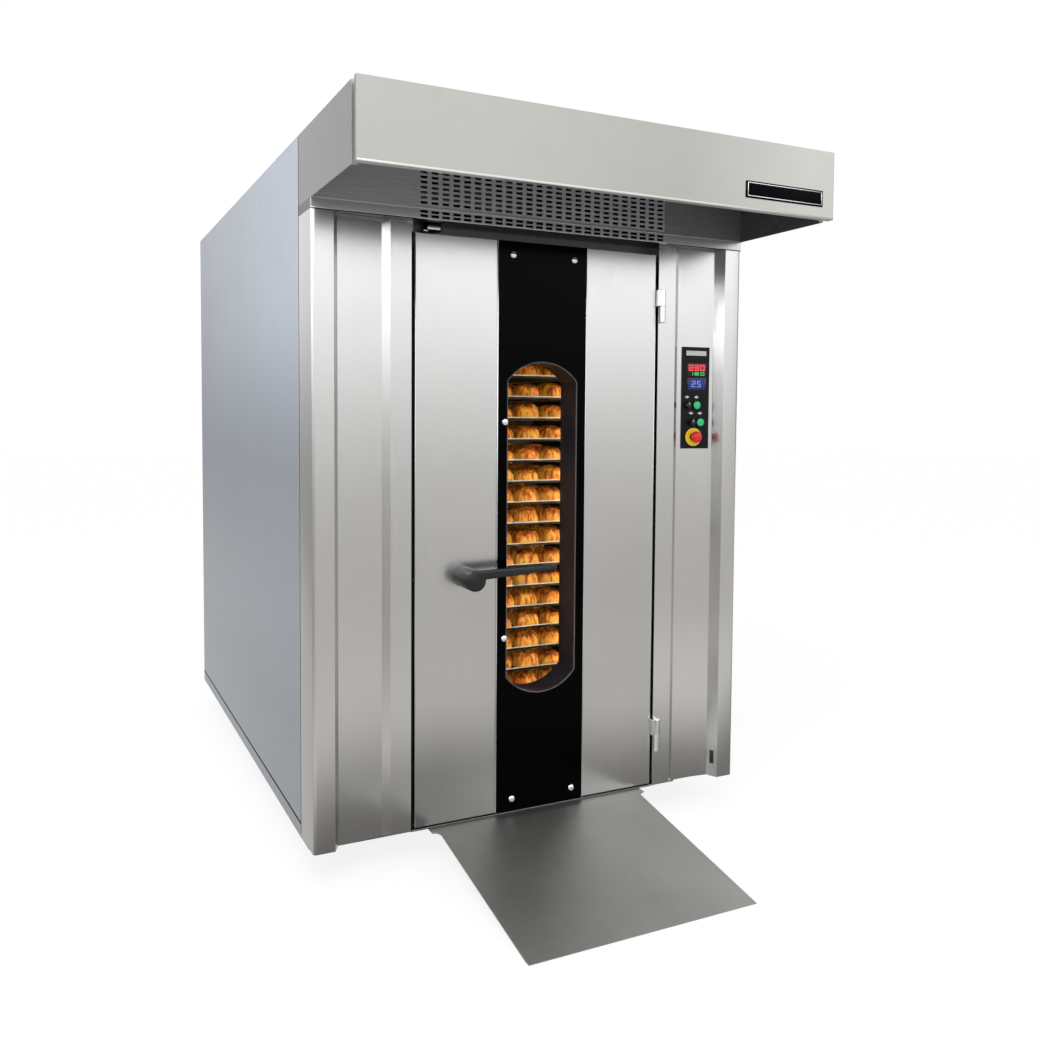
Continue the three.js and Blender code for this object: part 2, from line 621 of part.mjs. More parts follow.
function hingeKnuckle(bottom) {
  const { x, y, radius, height, pin, leaf } = HINGE;
  const low = bottom + height / 2;
  const top = bottom + height;
  const edge = DOOR_HALF_WIDTH + SEAT;
  const bore = rod('z', pin + HINGE_BORE_GAP, low - 1, top - 12 + SEAT, [x, y]);
  return cut(join(
    rod('z', radius, low, top, [x, y]),
    box(edge, edge + leaf, y, RIM_REAR - 4, low, top),
    box(edge, x, y, y + leaf, low, top),
  ), bore);
}

// ---------------------------------------------------------------- handle and latch
function handleBase() {
  const bore = SPINDLE_RADIUS + SEAT;
  return turned([
    [bore, 0], [HANDLE_ROSE_RADIUS, 0],
    [HANDLE_ROSE_RADIUS, HANDLE_ROSE_THICKNESS], [bore, HANDLE_ROSE_THICKNESS],
  ], ROUND).rotate([90, 0, 0]).translate([HANDLE_X, DOOR_FACE_Y - SEAT, HANDLE_Z]);
}

function handleLever() {
  const back = DOOR_FACE_Y - SEAT - HANDLE_ROSE_THICKNESS - SEAT;
  const front = LEVER_Y - LEVER.thickness / 2;
  const length = back - front;
  const hub = turned([
    [0, 0], [HANDLE_HUB_RADIUS, 0], [HANDLE_HUB_RADIUS, length - 9],
    [HANDLE_HUB_RADIUS - 3, length - 3], [HANDLE_HUB_RADIUS - 10, length], [0, length],
  ], ROUND).rotate([90, 0, 0]).translate([HANDLE_X, back, HANDLE_Z]);
  const end = HANDLE_X + LEVER.reach - LEVER.bevel;
  const rootHalf = LEVER.rootRidge / 2;
  const tipHalf = LEVER.tipRidge / 2;
  const ridge = new THREE.Shape([
    [HANDLE_X, HANDLE_Z + LEVER.rootRise - rootHalf], [end, HANDLE_Z + LEVER.tipRise - tipHalf],
    [end, HANDLE_Z + LEVER.tipRise + tipHalf], [HANDLE_X, HANDLE_Z + LEVER.rootRise + rootHalf],
  ].map(([x, z]) => new THREE.Vector2(x, z)));
  const edge = LEVER.thickness / 3;
  const paddle = new THREE.ExtrudeGeometry(ridge, {
    depth: LEVER.thickness - 2 * edge,
    bevelThickness: edge,
    bevelSize: LEVER.bevel,
    bevelSegments: 3,
  }).rotateX(Math.PI / 2);
  const bar = toSolid(paddle.translate(0, LEVER_Y + LEVER.thickness / 2 - edge, 0));
  const spindle = rod('y', SPINDLE_RADIUS, back - 1, RIM_REAR - 6, [HANDLE_X, HANDLE_Z]);
  return join(hub, bar, spindle);
}

function latchBolt() {
  const half = BOLT.size / 2;
  const tip = -DOOR_HALF_WIDTH + 0.5;
  return box(tip, tip + BOLT.length, BOLT_Y - half, BOLT_Y + half, HANDLE_Z - half, HANDLE_Z + half);
}

// A block welded to the jamb; its pocket is cut together with the jamb's hole for the bolt.
function latchKeeper() {
  const room = BOLT.size / 2 + BOLT.clearance;
  const wall = 10;
  return box(
    -JAMB_X - BOLT.travel - 16, -JAMB_X - 1,
    BOLT_Y - room - 6, BOLT_Y + room + wall, HANDLE_Z - room - wall, HANDLE_Z + room + wall,
  );
}

// ---------------------------------------------------------------- control panel
// Built face up: width along X, height along Y, outwards along Z.
function controlPlate() {
  const { width, height, thickness } = CONTROL;
  const ring = (at, outer, inner, rise) => cut(
    rod('z', outer, thickness / 2, thickness + rise, at),
    rod('z', inner, thickness, thickness + rise + 1, at),
  );
  const plate = box(-width / 2, width / 2, -height / 2, height / 2, 0, thickness);
  const bezels = Object.entries(SWITCHES).map(([name, at]) => (name.endsWith('button')
    ? ring(at, BUTTON.bezel, BUTTON.radius + SEAT, BUTTON.bezelHeight)
    : ring(at, KNOB.bezel, KNOB.radius - 3 + SEAT, KNOB.bezelHeight)));
  return join(plate, bezels, ring(ESTOP_AT, ESTOP.boss, ESTOP.neck + SEAT, ESTOP.bossHeight));
}

function selectorKnob() {
  const low = CONTROL.thickness + SEAT;
  const skirt = CONTROL.thickness + KNOB.bezelHeight + SEAT;
  const neck = KNOB.radius - 3;
  const body = turned([
    [0, low], [neck, low], [neck, skirt], [KNOB.radius, skirt],
    [KNOB.radius, skirt + 7], [KNOB.radius - 2, skirt + KNOB.height], [0, skirt + KNOB.height],
  ]);
  const pointer = box(-2.5, 2.5, 0, KNOB.radius + 1, skirt + 4, skirt + KNOB.height + 1.5);
  return join(body, pointer);
}

function pushButton() {
  const low = CONTROL.thickness + BUTTON.travel + SEAT;
  const top = CONTROL.thickness + BUTTON.bezelHeight + BUTTON.proud;
  return turned([
    [0, low], [BUTTON.radius, low], [BUTTON.radius, top - 2], [BUTTON.radius - 4, top], [0, top],
  ]);
}

function estopButton() {
  const low = CONTROL.thickness + ESTOP.travel + SEAT;
  const under = CONTROL.thickness + ESTOP.bossHeight + ESTOP.travel + 1;
  const top = under + ESTOP.height;
  return turned([
    [0, low], [ESTOP.neck, low], [ESTOP.neck, under], [ESTOP.head - 2, under], [ESTOP.head, under + 4],
    [ESTOP.head, under + 10], [ESTOP.head - 5, top - 3], [ESTOP.head - 12, top], [0, top],
  ], ROUND / 2 + 4);
}

function controlPanel() {
  const panel = new THREE.Group();
  const run = SLOPE_END_X - GROOVE_X;
  const rise = SLOPE_END_Y - GROOVE_Y;
  const x = (GROOVE_X + SLOPE_END_X) / 2 + CONTROL.shift;
  const y = GROOVE_Y + (rise * (x - GROOVE_X)) / run - SEAT * 2;
  panel.position.set(x, y, CONTROL.centreZ);
  panel.rotation.set(Math.PI / 2, 0, Math.atan2(rise, run), 'ZXY');
  panel.add(mesh('control_plate', controlPlate(), BLACK_PLASTIC));
  Object.entries(SWITCHES).forEach(([name, [u, v]]) => {
    const isButton = name.endsWith('button');
    const piece = isButton
      ? mesh(name, pushButton(), GREEN_PLASTIC)
      : mesh(name, selectorKnob(), BLACK_PLASTIC);
    piece.position.set(u, v, 0);
    panel.add(piece);
  });
  const estop = mesh('estop_button', estopButton(), RED_PLASTIC);
  estop.position.set(...ESTOP_AT, 0);
  panel.add(estop);
  return panel;
}

// ---------------------------------------------------------------- turntable
function turntable() {
  const top = TURNTABLE_PROUD;
  const low = top - TURNTABLE_THICKNESS;
  return join(
    rod('z', TURNTABLE_RADIUS, low, top, [0, 0], ROUND * 2),
    rod('z', TURN_HUB.radius, low - TURN_HUB.height, low + 1),
    rod('z', TURN_SHAFT_RADIUS, low - TURN_HUB.height - TURN_SHAFT_LENGTH, low),
  );
}

const GEARBOX_TOP = TURNTABLE_PROUD - TURNTABLE_THICKNESS - TURN_HUB.height - SEAT;

function turntableGearmotor() {
  const { half, height, motorRadius, motorLength } = GEARBOX;
  const top = GEARBOX_TOP;
  const low = top - height;
  const [before, after] = [CROSS_MEMBERS[0] + BASE_WALL * 2 + SEAT, CROSS_MEMBERS[1] - SEAT];
  const bracketTop = Math.min(top, BASE_TOP - CROSS_MEMBER_DROP) - 10;
  const housing = box(-half, half, TURN_Y - half, TURN_Y + half, low, top);
  const bracket = box(-half + 10, half - 10, before, after, bracketTop - 8, bracketTop);
  const motor = rod('x', motorRadius, half - 1, half + motorLength, [TURN_Y, low + height / 2]);
  const bore = rod('z', TURN_SHAFT_RADIUS + SEAT, top - 50 - SEAT, top + 1, [0, TURN_Y]);
  return cut(join(housing, bracket, motor), bore);
}

// ---------------------------------------------------------------- rack, trays and casters
const AXLE_Z = TURNTABLE_PROUD + SEAT + CASTER.radius;
const PLATE_Z = RACK.bottom;

function rackFrame() {
  const { halfWidth, halfLength, tube, top, bottom } = RACK;
  const [x0, y0] = [halfWidth - tube, halfLength - tube];
  const pieces = [];
  [-1, 1].forEach((end) => {
    const [ya, yb] = end > 0 ? [y0, halfLength] : [-halfLength, -y0];
    pieces.push(...boxPair(x0, halfWidth, ya, yb, bottom, top));
    pieces.push(box(-halfWidth, halfWidth, ya, yb, bottom, bottom + tube));
    pieces.push(box(-halfWidth, halfWidth, ya, yb, top - tube, top));
    const [pa, pb] = end > 0 ? [CASTER.y - 42, y0 + 1] : [-y0 - 1, -CASTER.y + 42];
    pieces.push(...boxPair(CASTER.x - 42, x0 + 1, pa, pb, PLATE_Z, PLATE_Z + CASTER.plate));
  });
  pieces.push(...boxPair(x0, halfWidth, -halfLength, halfLength, bottom, bottom + tube));
  pieces.push(...boxPair(x0, halfWidth, -halfLength, halfLength, top - tube, top));
  for (let level = -SPARE_RUNNERS; level < TRAY_COUNT + SPARE_RUNNERS; level += 1) {
    const z = trayBottom(level) - SEAT - RUNNER.thickness;
    const inner = x0 - RUNNER.width;
    pieces.push(...boxPair(inner, x0 + 1, -halfLength + 2, halfLength - 2, z, z + RUNNER.thickness));
  }
  pieces.push(...[-1, 1].map((side) => casterFork(CASTER.plate).translate([side * CASTER.x, CASTER.y, 0])));
  const kingpinHoles = [-1, 1].map((side) => (
    rod('z', KINGPIN_RADIUS + SEAT, PLATE_Z - 1, PLATE_Z + CASTER.plate + 1, [side * CASTER.x, -CASTER.y])
  ));
  return cut(join(pieces), kingpinHoles);
}

const trayBottom = (level) => FIRST_TRAY_Z + level * TRAY_PITCH - TRAY.height / 2;

// Two cheeks, a crown and an axle; the crown reaches up by the given amount into the frame.
function casterFork(reachUp) {
  const inside = CASTER.width / 2 + 3;
  const outside = inside + CASTER.cheek;
  const crown = PLATE_Z - SEAT;
  const rim = crown - 10;
  return join(
    box(-outside, outside, -30, 30, rim, reachUp > 0 ? PLATE_Z + reachUp / 2 : crown),
    boxPair(inside, outside, -18, 18, AXLE_Z - 12, rim + 1),
    rod('x', CASTER_AXLE_RADIUS, -outside + 1, outside - 1, [0, AXLE_Z]),
  );
}

function swivelFork() {
  const kingpin = rod('z', KINGPIN_RADIUS, PLATE_Z - 5, PLATE_Z + CASTER.plate + 10);
  const inside = CASTER.width / 2 + 3;
  const outside = inside + CASTER.cheek;
  const crown = PLATE_Z - SEAT;
  const { trail } = CASTER;
  return join(
    box(-outside, outside, -28, trail + 18, crown - 10, crown),
    boxPair(inside, outside, trail - 18, trail + 18, AXLE_Z - 12, crown - 9),
    rod('x', CASTER_AXLE_RADIUS, -outside + 1, outside - 1, [trail, AXLE_Z]),
    kingpin,
  );
}

function casterWheel() {
  const half = CASTER.width / 2;
  const bore = CASTER_AXLE_RADIUS + SEAT;
  const web = half - 6;
  const tyre = CASTER.radius - 14;
  return turned([
    [bore, -half], [24, -web], [tyre, -web], [CASTER.radius, -half + 3],
    [CASTER.radius, half - 3], [tyre, web], [24, web], [bore, half],
  ], 16).rotate([0, 90, 0]);
}

function bakingTray() {
  const { width, length, height, sheet } = TRAY;
  return cut(
    box(-width / 2, width / 2, -length / 2, length / 2, 0, height),
    box(-width / 2 + sheet, width / 2 - sheet, -length / 2 + sheet, length / 2 - sheet, sheet, height + 1),
  );
}

function loadedTurntable() {
  const group = new THREE.Group();
  group.position.set(0, TURN_Y, 0);
  group.add(mesh('turntable', turntable(), DARK_STEEL));
  group.add(mesh('rack_frame', rackFrame(), STEEL));
  for (let level = 0; level < TRAY_COUNT; level += 1) {
    const tray = mesh(`tray_${String(level + 1).padStart(2, '0')}`, bakingTray(), ALUMINIUM);
    tray.position.z = trayBottom(level);
    group.add(tray);
  }
  [['left', -1], ['right', 1]].forEach(([name, side]) => {
    const fork = mesh(`${name}_swivel_fork`, swivelFork(), CHROME);
    fork.position.set(side * CASTER.x, -CASTER.y, 0);
    group.add(fork);
    [['front', CASTER.trail - CASTER.y], ['rear', CASTER.y]].forEach(([end, y]) => {
      const wheel = mesh(`${name}_${end}_wheel`, casterWheel(), RUBBER);
      wheel.position.set(side * CASTER.x, y, AXLE_Z);
      group.add(wheel);
    });
  });
  return group;
}

// ---------------------------------------------------------------- ramp
function ramp() {
  const { reach, half, flare, thickness, lipY, foot } = RAMP;
  const lipTop = -DECK + SEAT + thickness;
  const lipFront = DECK_FRONT - lipY;
  const section = new THREE.Shape([
    [-reach, FLOOR], [-reach + foot, FLOOR], [lipFront, lipTop - thickness],
    [DECK_FRONT - SEAT, lipTop - thickness], [DECK_FRONT - SEAT, lipTop], [lipFront, lipTop],
    [-reach, FLOOR + 1.5],
  ].map(([y, z]) => new THREE.Vector2(y, z)));
  const plan = new THREE.Shape();
  plan.moveTo(-half, -reach);
  plan.lineTo(half, -reach);
  plan.lineTo(half, lipFront - flare);
  plan.absarc(half + flare, lipFront - flare, flare, Math.PI, Math.PI / 2, true);
  plan.lineTo(half + flare, DECK_FRONT);
  plan.lineTo(-half - flare, DECK_FRONT);
  plan.lineTo(-half - flare, lipFront);
  plan.absarc(-half - flare, lipFront - flare, flare, Math.PI / 2, 0, true);
  return prism('x', section, -HALF, HALF).intersect(prism('z', plan, FLOOR, 10));
}

// ---------------------------------------------------------------- the oven
function rackOven() {
  const oven = new THREE.Group();
  const body = new THREE.Group();
  body.position.set(0, -CENTRE_Y, GROUND_CLEARANCE);
  oven.add(body);
  const pieces = [
    ['base_frame', baseFrame(), DARK_STEEL],
    ['chamber_floor', chamberFloor(), STEEL],
    ['left_side_panel', sidePanel(-1), STEEL],
    ['right_side_panel', sidePanel(1), STEEL],
    ['rear_panel', rearPanel(), STEEL],
    ['roof_panel', roofPanel(), STEEL],
    ['left_front_column', frontColumn(-1), STEEL],
    ['right_front_column', frontColumn(1), STEEL],
    ['door_header', doorHeader(), STEEL],
    ['hood_shell', hoodShell(), STEEL],
    ['hood_grille', hoodGrille(), DARK_STEEL],
    ['left_liner_wall', linerWall(-1), LINER_STEEL],
    ['right_liner_wall', linerWall(1), LINER_STEEL],
    ['liner_rear', linerRear(), LINER_STEEL],
    ['liner_roof', linerRoof(), LINER_STEEL],
    ['heater_bank', heaterBank(), DARK_STEEL],
    ['fan_impeller', fanImpeller(), LINER_STEEL],
    ['fan_motor', fanMotor(), MOTOR_GREY],
    ['ramp', ramp(), STEEL],
    ['door_shell', doorShell(), STEEL],
    ['door_front_panel', doorFrontPanel(), BLACK_PANEL],
    ['door_inner_panel', doorInnerPanel(), REVEAL],
    ['window_glass', windowGlass(), GLASS],
    ['door_gasket', doorGasket(), RUBBER],
    ['lower_hinge_knuckle', hingeKnuckle(HINGE_BOTTOMS[0]), CHROME],
    ['upper_hinge_knuckle', hingeKnuckle(HINGE_BOTTOMS[1]), CHROME],
    ['handle_base', handleBase(), BLACK_PLASTIC],
    ['handle_lever', handleLever(), BLACK_PLASTIC],
    ['latch_bolt', latchBolt(), STEEL],
    ['turntable_gearmotor', turntableGearmotor(), MOTOR_GREY],
  ];
  pieces.forEach(([name, solid, material]) => body.add(mesh(name, solid, material)));
  body.add(controlPanel());
  body.add(loadedTurntable());
  return oven;
}

export default rackOven();
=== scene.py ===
# The looks of a rotating rack oven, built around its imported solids.
# Metres, +Z up, the door facing -Y, the origin on the floor under the middle of the footprint.
import math
import random

import bmesh
import bpy
from mathutils import Matrix, Vector


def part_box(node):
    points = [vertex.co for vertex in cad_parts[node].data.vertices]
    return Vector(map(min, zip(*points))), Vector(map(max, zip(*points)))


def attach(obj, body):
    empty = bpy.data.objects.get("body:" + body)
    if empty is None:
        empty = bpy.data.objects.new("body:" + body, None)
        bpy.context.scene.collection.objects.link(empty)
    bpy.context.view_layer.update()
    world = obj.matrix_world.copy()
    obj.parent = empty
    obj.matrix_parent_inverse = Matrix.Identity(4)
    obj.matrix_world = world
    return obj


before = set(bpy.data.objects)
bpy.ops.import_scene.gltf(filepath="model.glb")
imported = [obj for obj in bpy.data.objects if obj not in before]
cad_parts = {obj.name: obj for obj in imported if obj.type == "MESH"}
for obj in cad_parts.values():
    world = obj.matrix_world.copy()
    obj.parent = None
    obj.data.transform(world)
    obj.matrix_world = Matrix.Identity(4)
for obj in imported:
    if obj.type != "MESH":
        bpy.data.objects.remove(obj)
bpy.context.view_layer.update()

# ------------------------------------------------------------------ places taken from the frame
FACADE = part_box("door_header")[0].y           # front of the columns
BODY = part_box("chamber_floor")[0].z + 0.009   # underside of the columns
DOOR_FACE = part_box("door_shell")[0].y
PANEL_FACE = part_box("door_front_panel")[0].y


def at(x, y, z):
    """A point given from the facade and the underside of the columns."""
    return Vector((x, FACADE + y, BODY + z))


# ------------------------------------------------------------------ camera
CAMERA_PLACE = at(-1.6523, -3.1264, 1.4662)
CAMERA_YAW = math.radians(26.233)
CAMERA_PITCH = math.radians(-2.895)
CAMERA_ROLL = math.radians(0.393)
LENS = 33.55
SENSOR_WIDTH = 36.0
SHIFT_UP = -0.0529
FARTHEST = 100.0


def make_camera():
    data = bpy.data.cameras.new("camera")
    data.lens = LENS
    data.sensor_width = SENSOR_WIDTH
    data.shift_y = SHIFT_UP
    data.clip_end = FARTHEST
    camera = bpy.data.objects.new("camera", data)
    bpy.context.scene.collection.objects.link(camera)
    forward = Vector((
        math.sin(CAMERA_YAW) * math.cos(CAMERA_PITCH),
        math.cos(CAMERA_YAW) * math.cos(CAMERA_PITCH),
        math.sin(CAMERA_PITCH),
    ))
    level = forward.cross(Vector((0, 0, 1))).normalized()
    upright = level.cross(forward)
    right = level * math.cos(CAMERA_ROLL) + upright * math.sin(CAMERA_ROLL)
    up = upright * math.cos(CAMERA_ROLL) - level * math.sin(CAMERA_ROLL)
    turn = Matrix((right, up, -forward)).transposed()
    camera.matrix_world = Matrix.Translation(CAMERA_PLACE) @ turn.to_4x4()
    bpy.context.scene.camera = camera


make_camera()


# ------------------------------------------------------------------ node materials
def linear(red, green, blue):
    """A colour written from 0 to 255, as the shader wants it."""
    def one(value):
        value /= 255
        return value / 12.92 if value <= 0.04045 else ((value + 0.055) / 1.055) ** 2.4
    return (one(red), one(green), one(blue), 1.0)


class Look:
    """A material with its Principled shader, and short calls for the nodes that feed it.

    The socket called inside, where there is one, is 1 on the faces that take INNER_COLOR.
    """

    def __init__(self, name, color, roughness=0.5, metallic=0.0, **sockets):
        self.material = bpy.data.materials.new(name)
        self.material.use_nodes = True
        self.tree = self.material.node_tree
        self.shader = self.tree.nodes["Principled BSDF"]
        self.inside = None
        self.shader.inputs["Base Color"].default_value = color
        self.shader.inputs["Roughness"].default_value = roughness
        self.shader.inputs["Metallic"].default_value = metallic
        for socket, value in sockets.items():
            self.shader.inputs[socket.replace("_", " ")].default_value = value

    def node(self, kind, inputs=None, **settings):
        made = self.tree.nodes.new("ShaderNode" + kind)
        for key, value in settings.items():
            setattr(made, key, value)
        for key, value in (inputs or {}).items():
            if isinstance(value, bpy.types.NodeSocket):
                self.tree.links.new(value, made.inputs[key])
            else:
                made.inputs[key].default_value = value
        return made

    def place(self, scale=(1, 1, 1)):
        """Object coordinates, stretched by a scale."""
        where = self.node("TexCoord").outputs["Object"]
        return self.node("Mapping", {"Vector": where, "Scale": scale}).outputs["Vector"]

    def noise(self, scale, stretch=(1, 1, 1), detail=4.0, roughness=0.55):
        return self.node("TexNoise", {
            "Vector": self.place(stretch), "Scale": scale, "Detail": detail, "Roughness": roughness,
        }).outputs["Fac"]

    def remap(self, value, low, high, to_low, to_high):
        return self.node("MapRange", {
            "Value": value, "From Min": low, "From Max": high, "To Min": to_low, "To Max": to_high,
        }).outputs["Result"]

    def math(self, operation, first, second):
        return self.node("Math", {0: first, 1: second}, operation=operation).outputs["Value"]

    def absolute(self, value):
        return self.math("ABSOLUTE", value, 0.0)

    def product(self, first, *others):
        for other in others:
            first = self.math("MULTIPLY", first, other)
        return first

    def mix(self, amount, first, second, blend="MIX"):
        made = self.node("Mix", {0: amount}, data_type="RGBA", blend_type=blend)
        for slot, value in ((6, first), (7, second)):
            if isinstance(value, bpy.types.NodeSocket):
                self.tree.links.new(value, made.inputs[slot])
            else:
                made.inputs[slot].default_value = value
        return made.outputs[2]

    def feed(self, socket, value):
        self.tree.links.new(value, self.shader.inputs[socket])

    def bump(self, height, distance, strength=1.0, edge=0.0):
        inputs = {"Height": height, "Distance": distance, "Strength": strength}
        if edge:
            inputs["Normal"] = self.node("Bevel", {"Radius": edge}, samples=4).outputs["Normal"]
        self.feed("Normal", self.node("Bump", inputs).outputs["Normal"])


def brushing(grain, along, across):
    """A noise's scale that draws it out along one axis."""
    return tuple(along if axis == grain else across for axis in "xyz")


def steel(name, color, grain, roughness=0.3, tone=0.05, shade=None,
          edge=0.0025, metallic=1.0, cloud=0.02):
    """Brushed stainless: fine streaks along one direction, faint clouds and smudged marks."""
    look = Look(name, color, roughness, metallic)
    streaks = look.noise(1.0, brushing(grain, 6, 900), 3.0)
    bands = look.noise(1.0, brushing(grain, 0.6, 60), 4.0, 0.7)
    clouds = look.noise(1.7, (1, 1, 1), 4.0, 0.6)
    smudges = look.noise(9.0, (1, 1, 1), 5.0, 0.65)
    light = look.math("ADD", look.remap(streaks, 0.3, 0.7, -tone, tone), 1.0)
    light = look.math("ADD", light, look.remap(bands, 0.3, 0.7, -tone * 0.4, tone * 0.4))
    light = look.math("ADD", light, look.remap(clouds, 0.3, 0.7, -cloud, cloud))
    # Where a shade function is given, it paints light and shade into the colour.
    if shade:
        light = look.math("MULTIPLY", light, shade(look))
    grey = look.node("CombineColor", {"Red": light, "Green": light, "Blue": light}).outputs["Color"]
    if look.inside:
        color = look.mix(look.inside, color, INNER_COLOR)
    look.feed("Base Color", look.mix(1.0, color, grey, "MULTIPLY"))
    rough = look.math("ADD", look.remap(streaks, 0.3, 0.7, roughness - 0.03, roughness + 0.03),
                      look.remap(smudges, 0.45, 0.75, 0.0, 0.025))
    look.feed("Roughness", rough)
    look.bump(streaks, 0.00004, 0.35, edge)
    return look.material


def object_place(look):
    """A point's own coordinates and its normal."""
    where = look.node("SeparateXYZ", {"Vector": look.node("TexCoord").outputs["Object"]}).outputs
    normal = look.node("SeparateXYZ", {"Vector": look.node("NewGeometry").outputs["Normal"]}).outputs
    return where, normal


INNER_COLOR = linear(166, 166, 167)
INNER_METAL = 0.45             # how much of the hood's inside still shines as metal
SHEET = 0.0015                 # the hood's faces beyond this depth are its inside
DOOR_EDGE = 0.4975             # the columns' faces lie farther out than this
HINGE_STRIP_X = 0.517          # the strip that the hinges stand on
HINGE_STRIP_HALF = 0.016
HINGE_STRIP_BACK = 0.0405
SLOPE_FROM = 0.70              # the columns' sloped faces lie farther out than this
SIDE_BRIGHT_Z = 1.27
SIDE_LOW_Z, SIDE_HIGH_Z = 0.50, 2.17
SIDE_MIDDLE = 0.96


def hood_shade(look):
    """Matt inside, with painted light and shade: the inside brighter on the left and darker to the right,
    the side sheets darker, and all a little darker towards the middle and brighter towards the right end.
    """
    where, normal = object_place(look)
    low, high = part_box("hood_shell")
    behind = look.math("GREATER_THAN", where["Y"], low.y + SHEET)
    within = look.math("LESS_THAN", look.absolute(where["X"]), high.x - SHEET)
    under = look.math("LESS_THAN", where["Z"], high.z - SHEET)
    look.inside = look.product(behind, within, under)
    look.feed("Metallic", look.remap(look.inside, 0.0, 1.0, 1.0, INNER_METAL))
    # Painted light and shade inside the hood: brighter on the left, darker to the right.
    inside_shade = look.product(look.inside, look.remap(where["X"], -0.3, 0.8, 1.10, 0.40))
    whole = look.math("ADD", inside_shade, look.math("SUBTRACT", 1.0, look.inside))
    # Painted shade on the side sheets, and painted light a little darker towards the middle and brighter
    # towards the right end.
    side = look.remap(look.absolute(normal["X"]), 0.6, 0.9, 1.0, 0.62)
    dip = look.remap(where["X"], -0.5, 0.1, 1.0, 0.915)
    right = look.remap(where["X"], 0.25, 0.75, 1.0, 1.30)
    return look.product(whole, side, look.product(dip, right))


def front_shade(look):
    """Painted light and shade: the door is darker low on its left,
    and it and the right column are brighter at the foot.

    The strip under the hinges is polished, the right column's slope has a painted highlight at its top,
    and the left column's slope has painted shade below it.
    """
    where, normal = object_place(look)
    # Painted light and shade low on the door and columns: darker on the left, brighter on the right.
    foot = look.remap(where["Z"], 0.27, 0.57, 1.0, 0.0)
    low = look.remap(where["Z"], 0.42, 1.22, -0.12, 0.0)
    door = look.product(foot, look.remap(where["X"], -0.40, 0.33, -0.20, 0.35))
    door = look.math("ADD", door, low)
    column_foot = look.remap(where["Z"], 0.32, 0.82, 1.0, 0.0)
    column = look.product(column_foot, look.remap(where["X"], -0.5, 0.6, 0.0, 0.20))
    on_column = look.math("GREATER_THAN", look.absolute(where["X"]), DOOR_EDGE)
    on_door = look.math("SUBTRACT", 1.0, on_column)
    change = look.math("ADD", look.product(on_column, column), look.product(on_door, door))
    painted_light = look.math("ADD", change, 1.0)

    aside = look.absolute(look.math("SUBTRACT", where["X"], HINGE_STRIP_X))
    beside = look.math("LESS_THAN", aside, HINGE_STRIP_HALF)
    proud = look.math("LESS_THAN", where["Y"], FACADE + HINGE_STRIP_BACK)
    polish = look.remap(look.product(beside, proud), 0.0, 1.0, 1.0, 1.25)

    # Painted highlight high on the right column's slope, painted shade on the left column's slope.
    facing_left = look.remap(normal["X"], -0.5, -0.6, 0.0, 1.0)
    facing_right = look.remap(normal["X"], 0.5, 0.6, 0.0, 1.0)
    on_right = look.math("GREATER_THAN", where["X"], SLOPE_FROM)
    on_left = look.math("LESS_THAN", where["X"], -SLOPE_FROM)
    rise = look.remap(where["Z"], 1.75, 2.00, 0.0, 1.0)
    upper = look.product(rise, look.remap(where["Z"], 2.10, 2.16, 1.0, 0.0))
    slope_highlight = look.product(look.product(facing_left, on_right), look.product(upper, 0.8))
    slope_shade = look.product(facing_right, on_left, look.remap(where["Z"], 1.60, 1.95, -0.22, 0.0))
    painted_light = look.math("ADD", painted_light, look.math("ADD", slope_highlight, slope_shade))
    return look.product(painted_light, polish)


def side_shade(look):
    """Painted light and shade on the long side sheets: brightest at the height of the handle, darker
    towards the rear top.
    """
    where, _ = object_place(look)
    lower = look.remap(where["Z"], SIDE_LOW_Z, SIDE_BRIGHT_Z, 0.965, 1.24)
    upper = look.remap(where["Z"], SIDE_BRIGHT_Z, SIDE_HIGH_Z, 1.0, 0.69)
    tilt = look.remap(where["Z"], SIDE_LOW_Z, SIDE_HIGH_Z, 0.084, -0.22)
    back = look.product(tilt, look.math("SUBTRACT", where["Y"], FACADE + SIDE_MIDDLE))
    return look.product(lower, upper, look.math("ADD", back, 1.0))


def recess_shade(look):
    """Painted shade on the strip above the door: bright in front, dark in its recess and darker on its
    right.
    """
    where, _ = object_place(look)
    recess = look.remap(where["Y"], FACADE + 0.004, FACADE + 0.012, 1.0, 0.16)
    return look.product(recess, look.remap(where["X"], 0.45, 0.85, 1.0, 0.72))


def painted(name, color, roughness=0.5, grain=0.0002, metallic=0.0, tone=0.08, edge=0.001, **sockets):
    """Paint, enamel or moulded plastic with a fine skin and worn, slightly uneven sheen."""
    look = Look(name, color, roughness, metallic, **sockets)
    skin = look.noise(700.0, (1, 1, 1), 3.0)
    clouds = look.noise(14.0, (1, 1, 1), 4.0)
    dark = tuple(c * (1 - tone) for c in color[:3]) + (1.0,)
    light = tuple(min(1.0, c * (1 + tone)) for c in color[:3]) + (1.0,)
    look.feed("Base Color", look.mix(look.remap(clouds, 0.3, 0.7, 0.0, 1.0), dark, light))
    look.feed("Roughness", look.remap(clouds, 0.3, 0.7, roughness - 0.04, roughness + 0.05))
    look.bump(skin, grain, 0.4, edge)
    return look.material


UNLIT = (0.02, 0.02, 0.02, 1.0)


def glowing(name, color, strength):
    """A lit display or tube, dark where its own light isn't seen."""
    look = Look(name, UNLIT, 0.3)
    look.shader.inputs["Emission Color"].default_value = color
    look.shader.inputs["Emission Strength"].default_value = strength
    speck = look.noise(300.0)
    look.feed("Roughness", look.remap(speck, 0.3, 0.7, 0.25, 0.35))
    return look.material


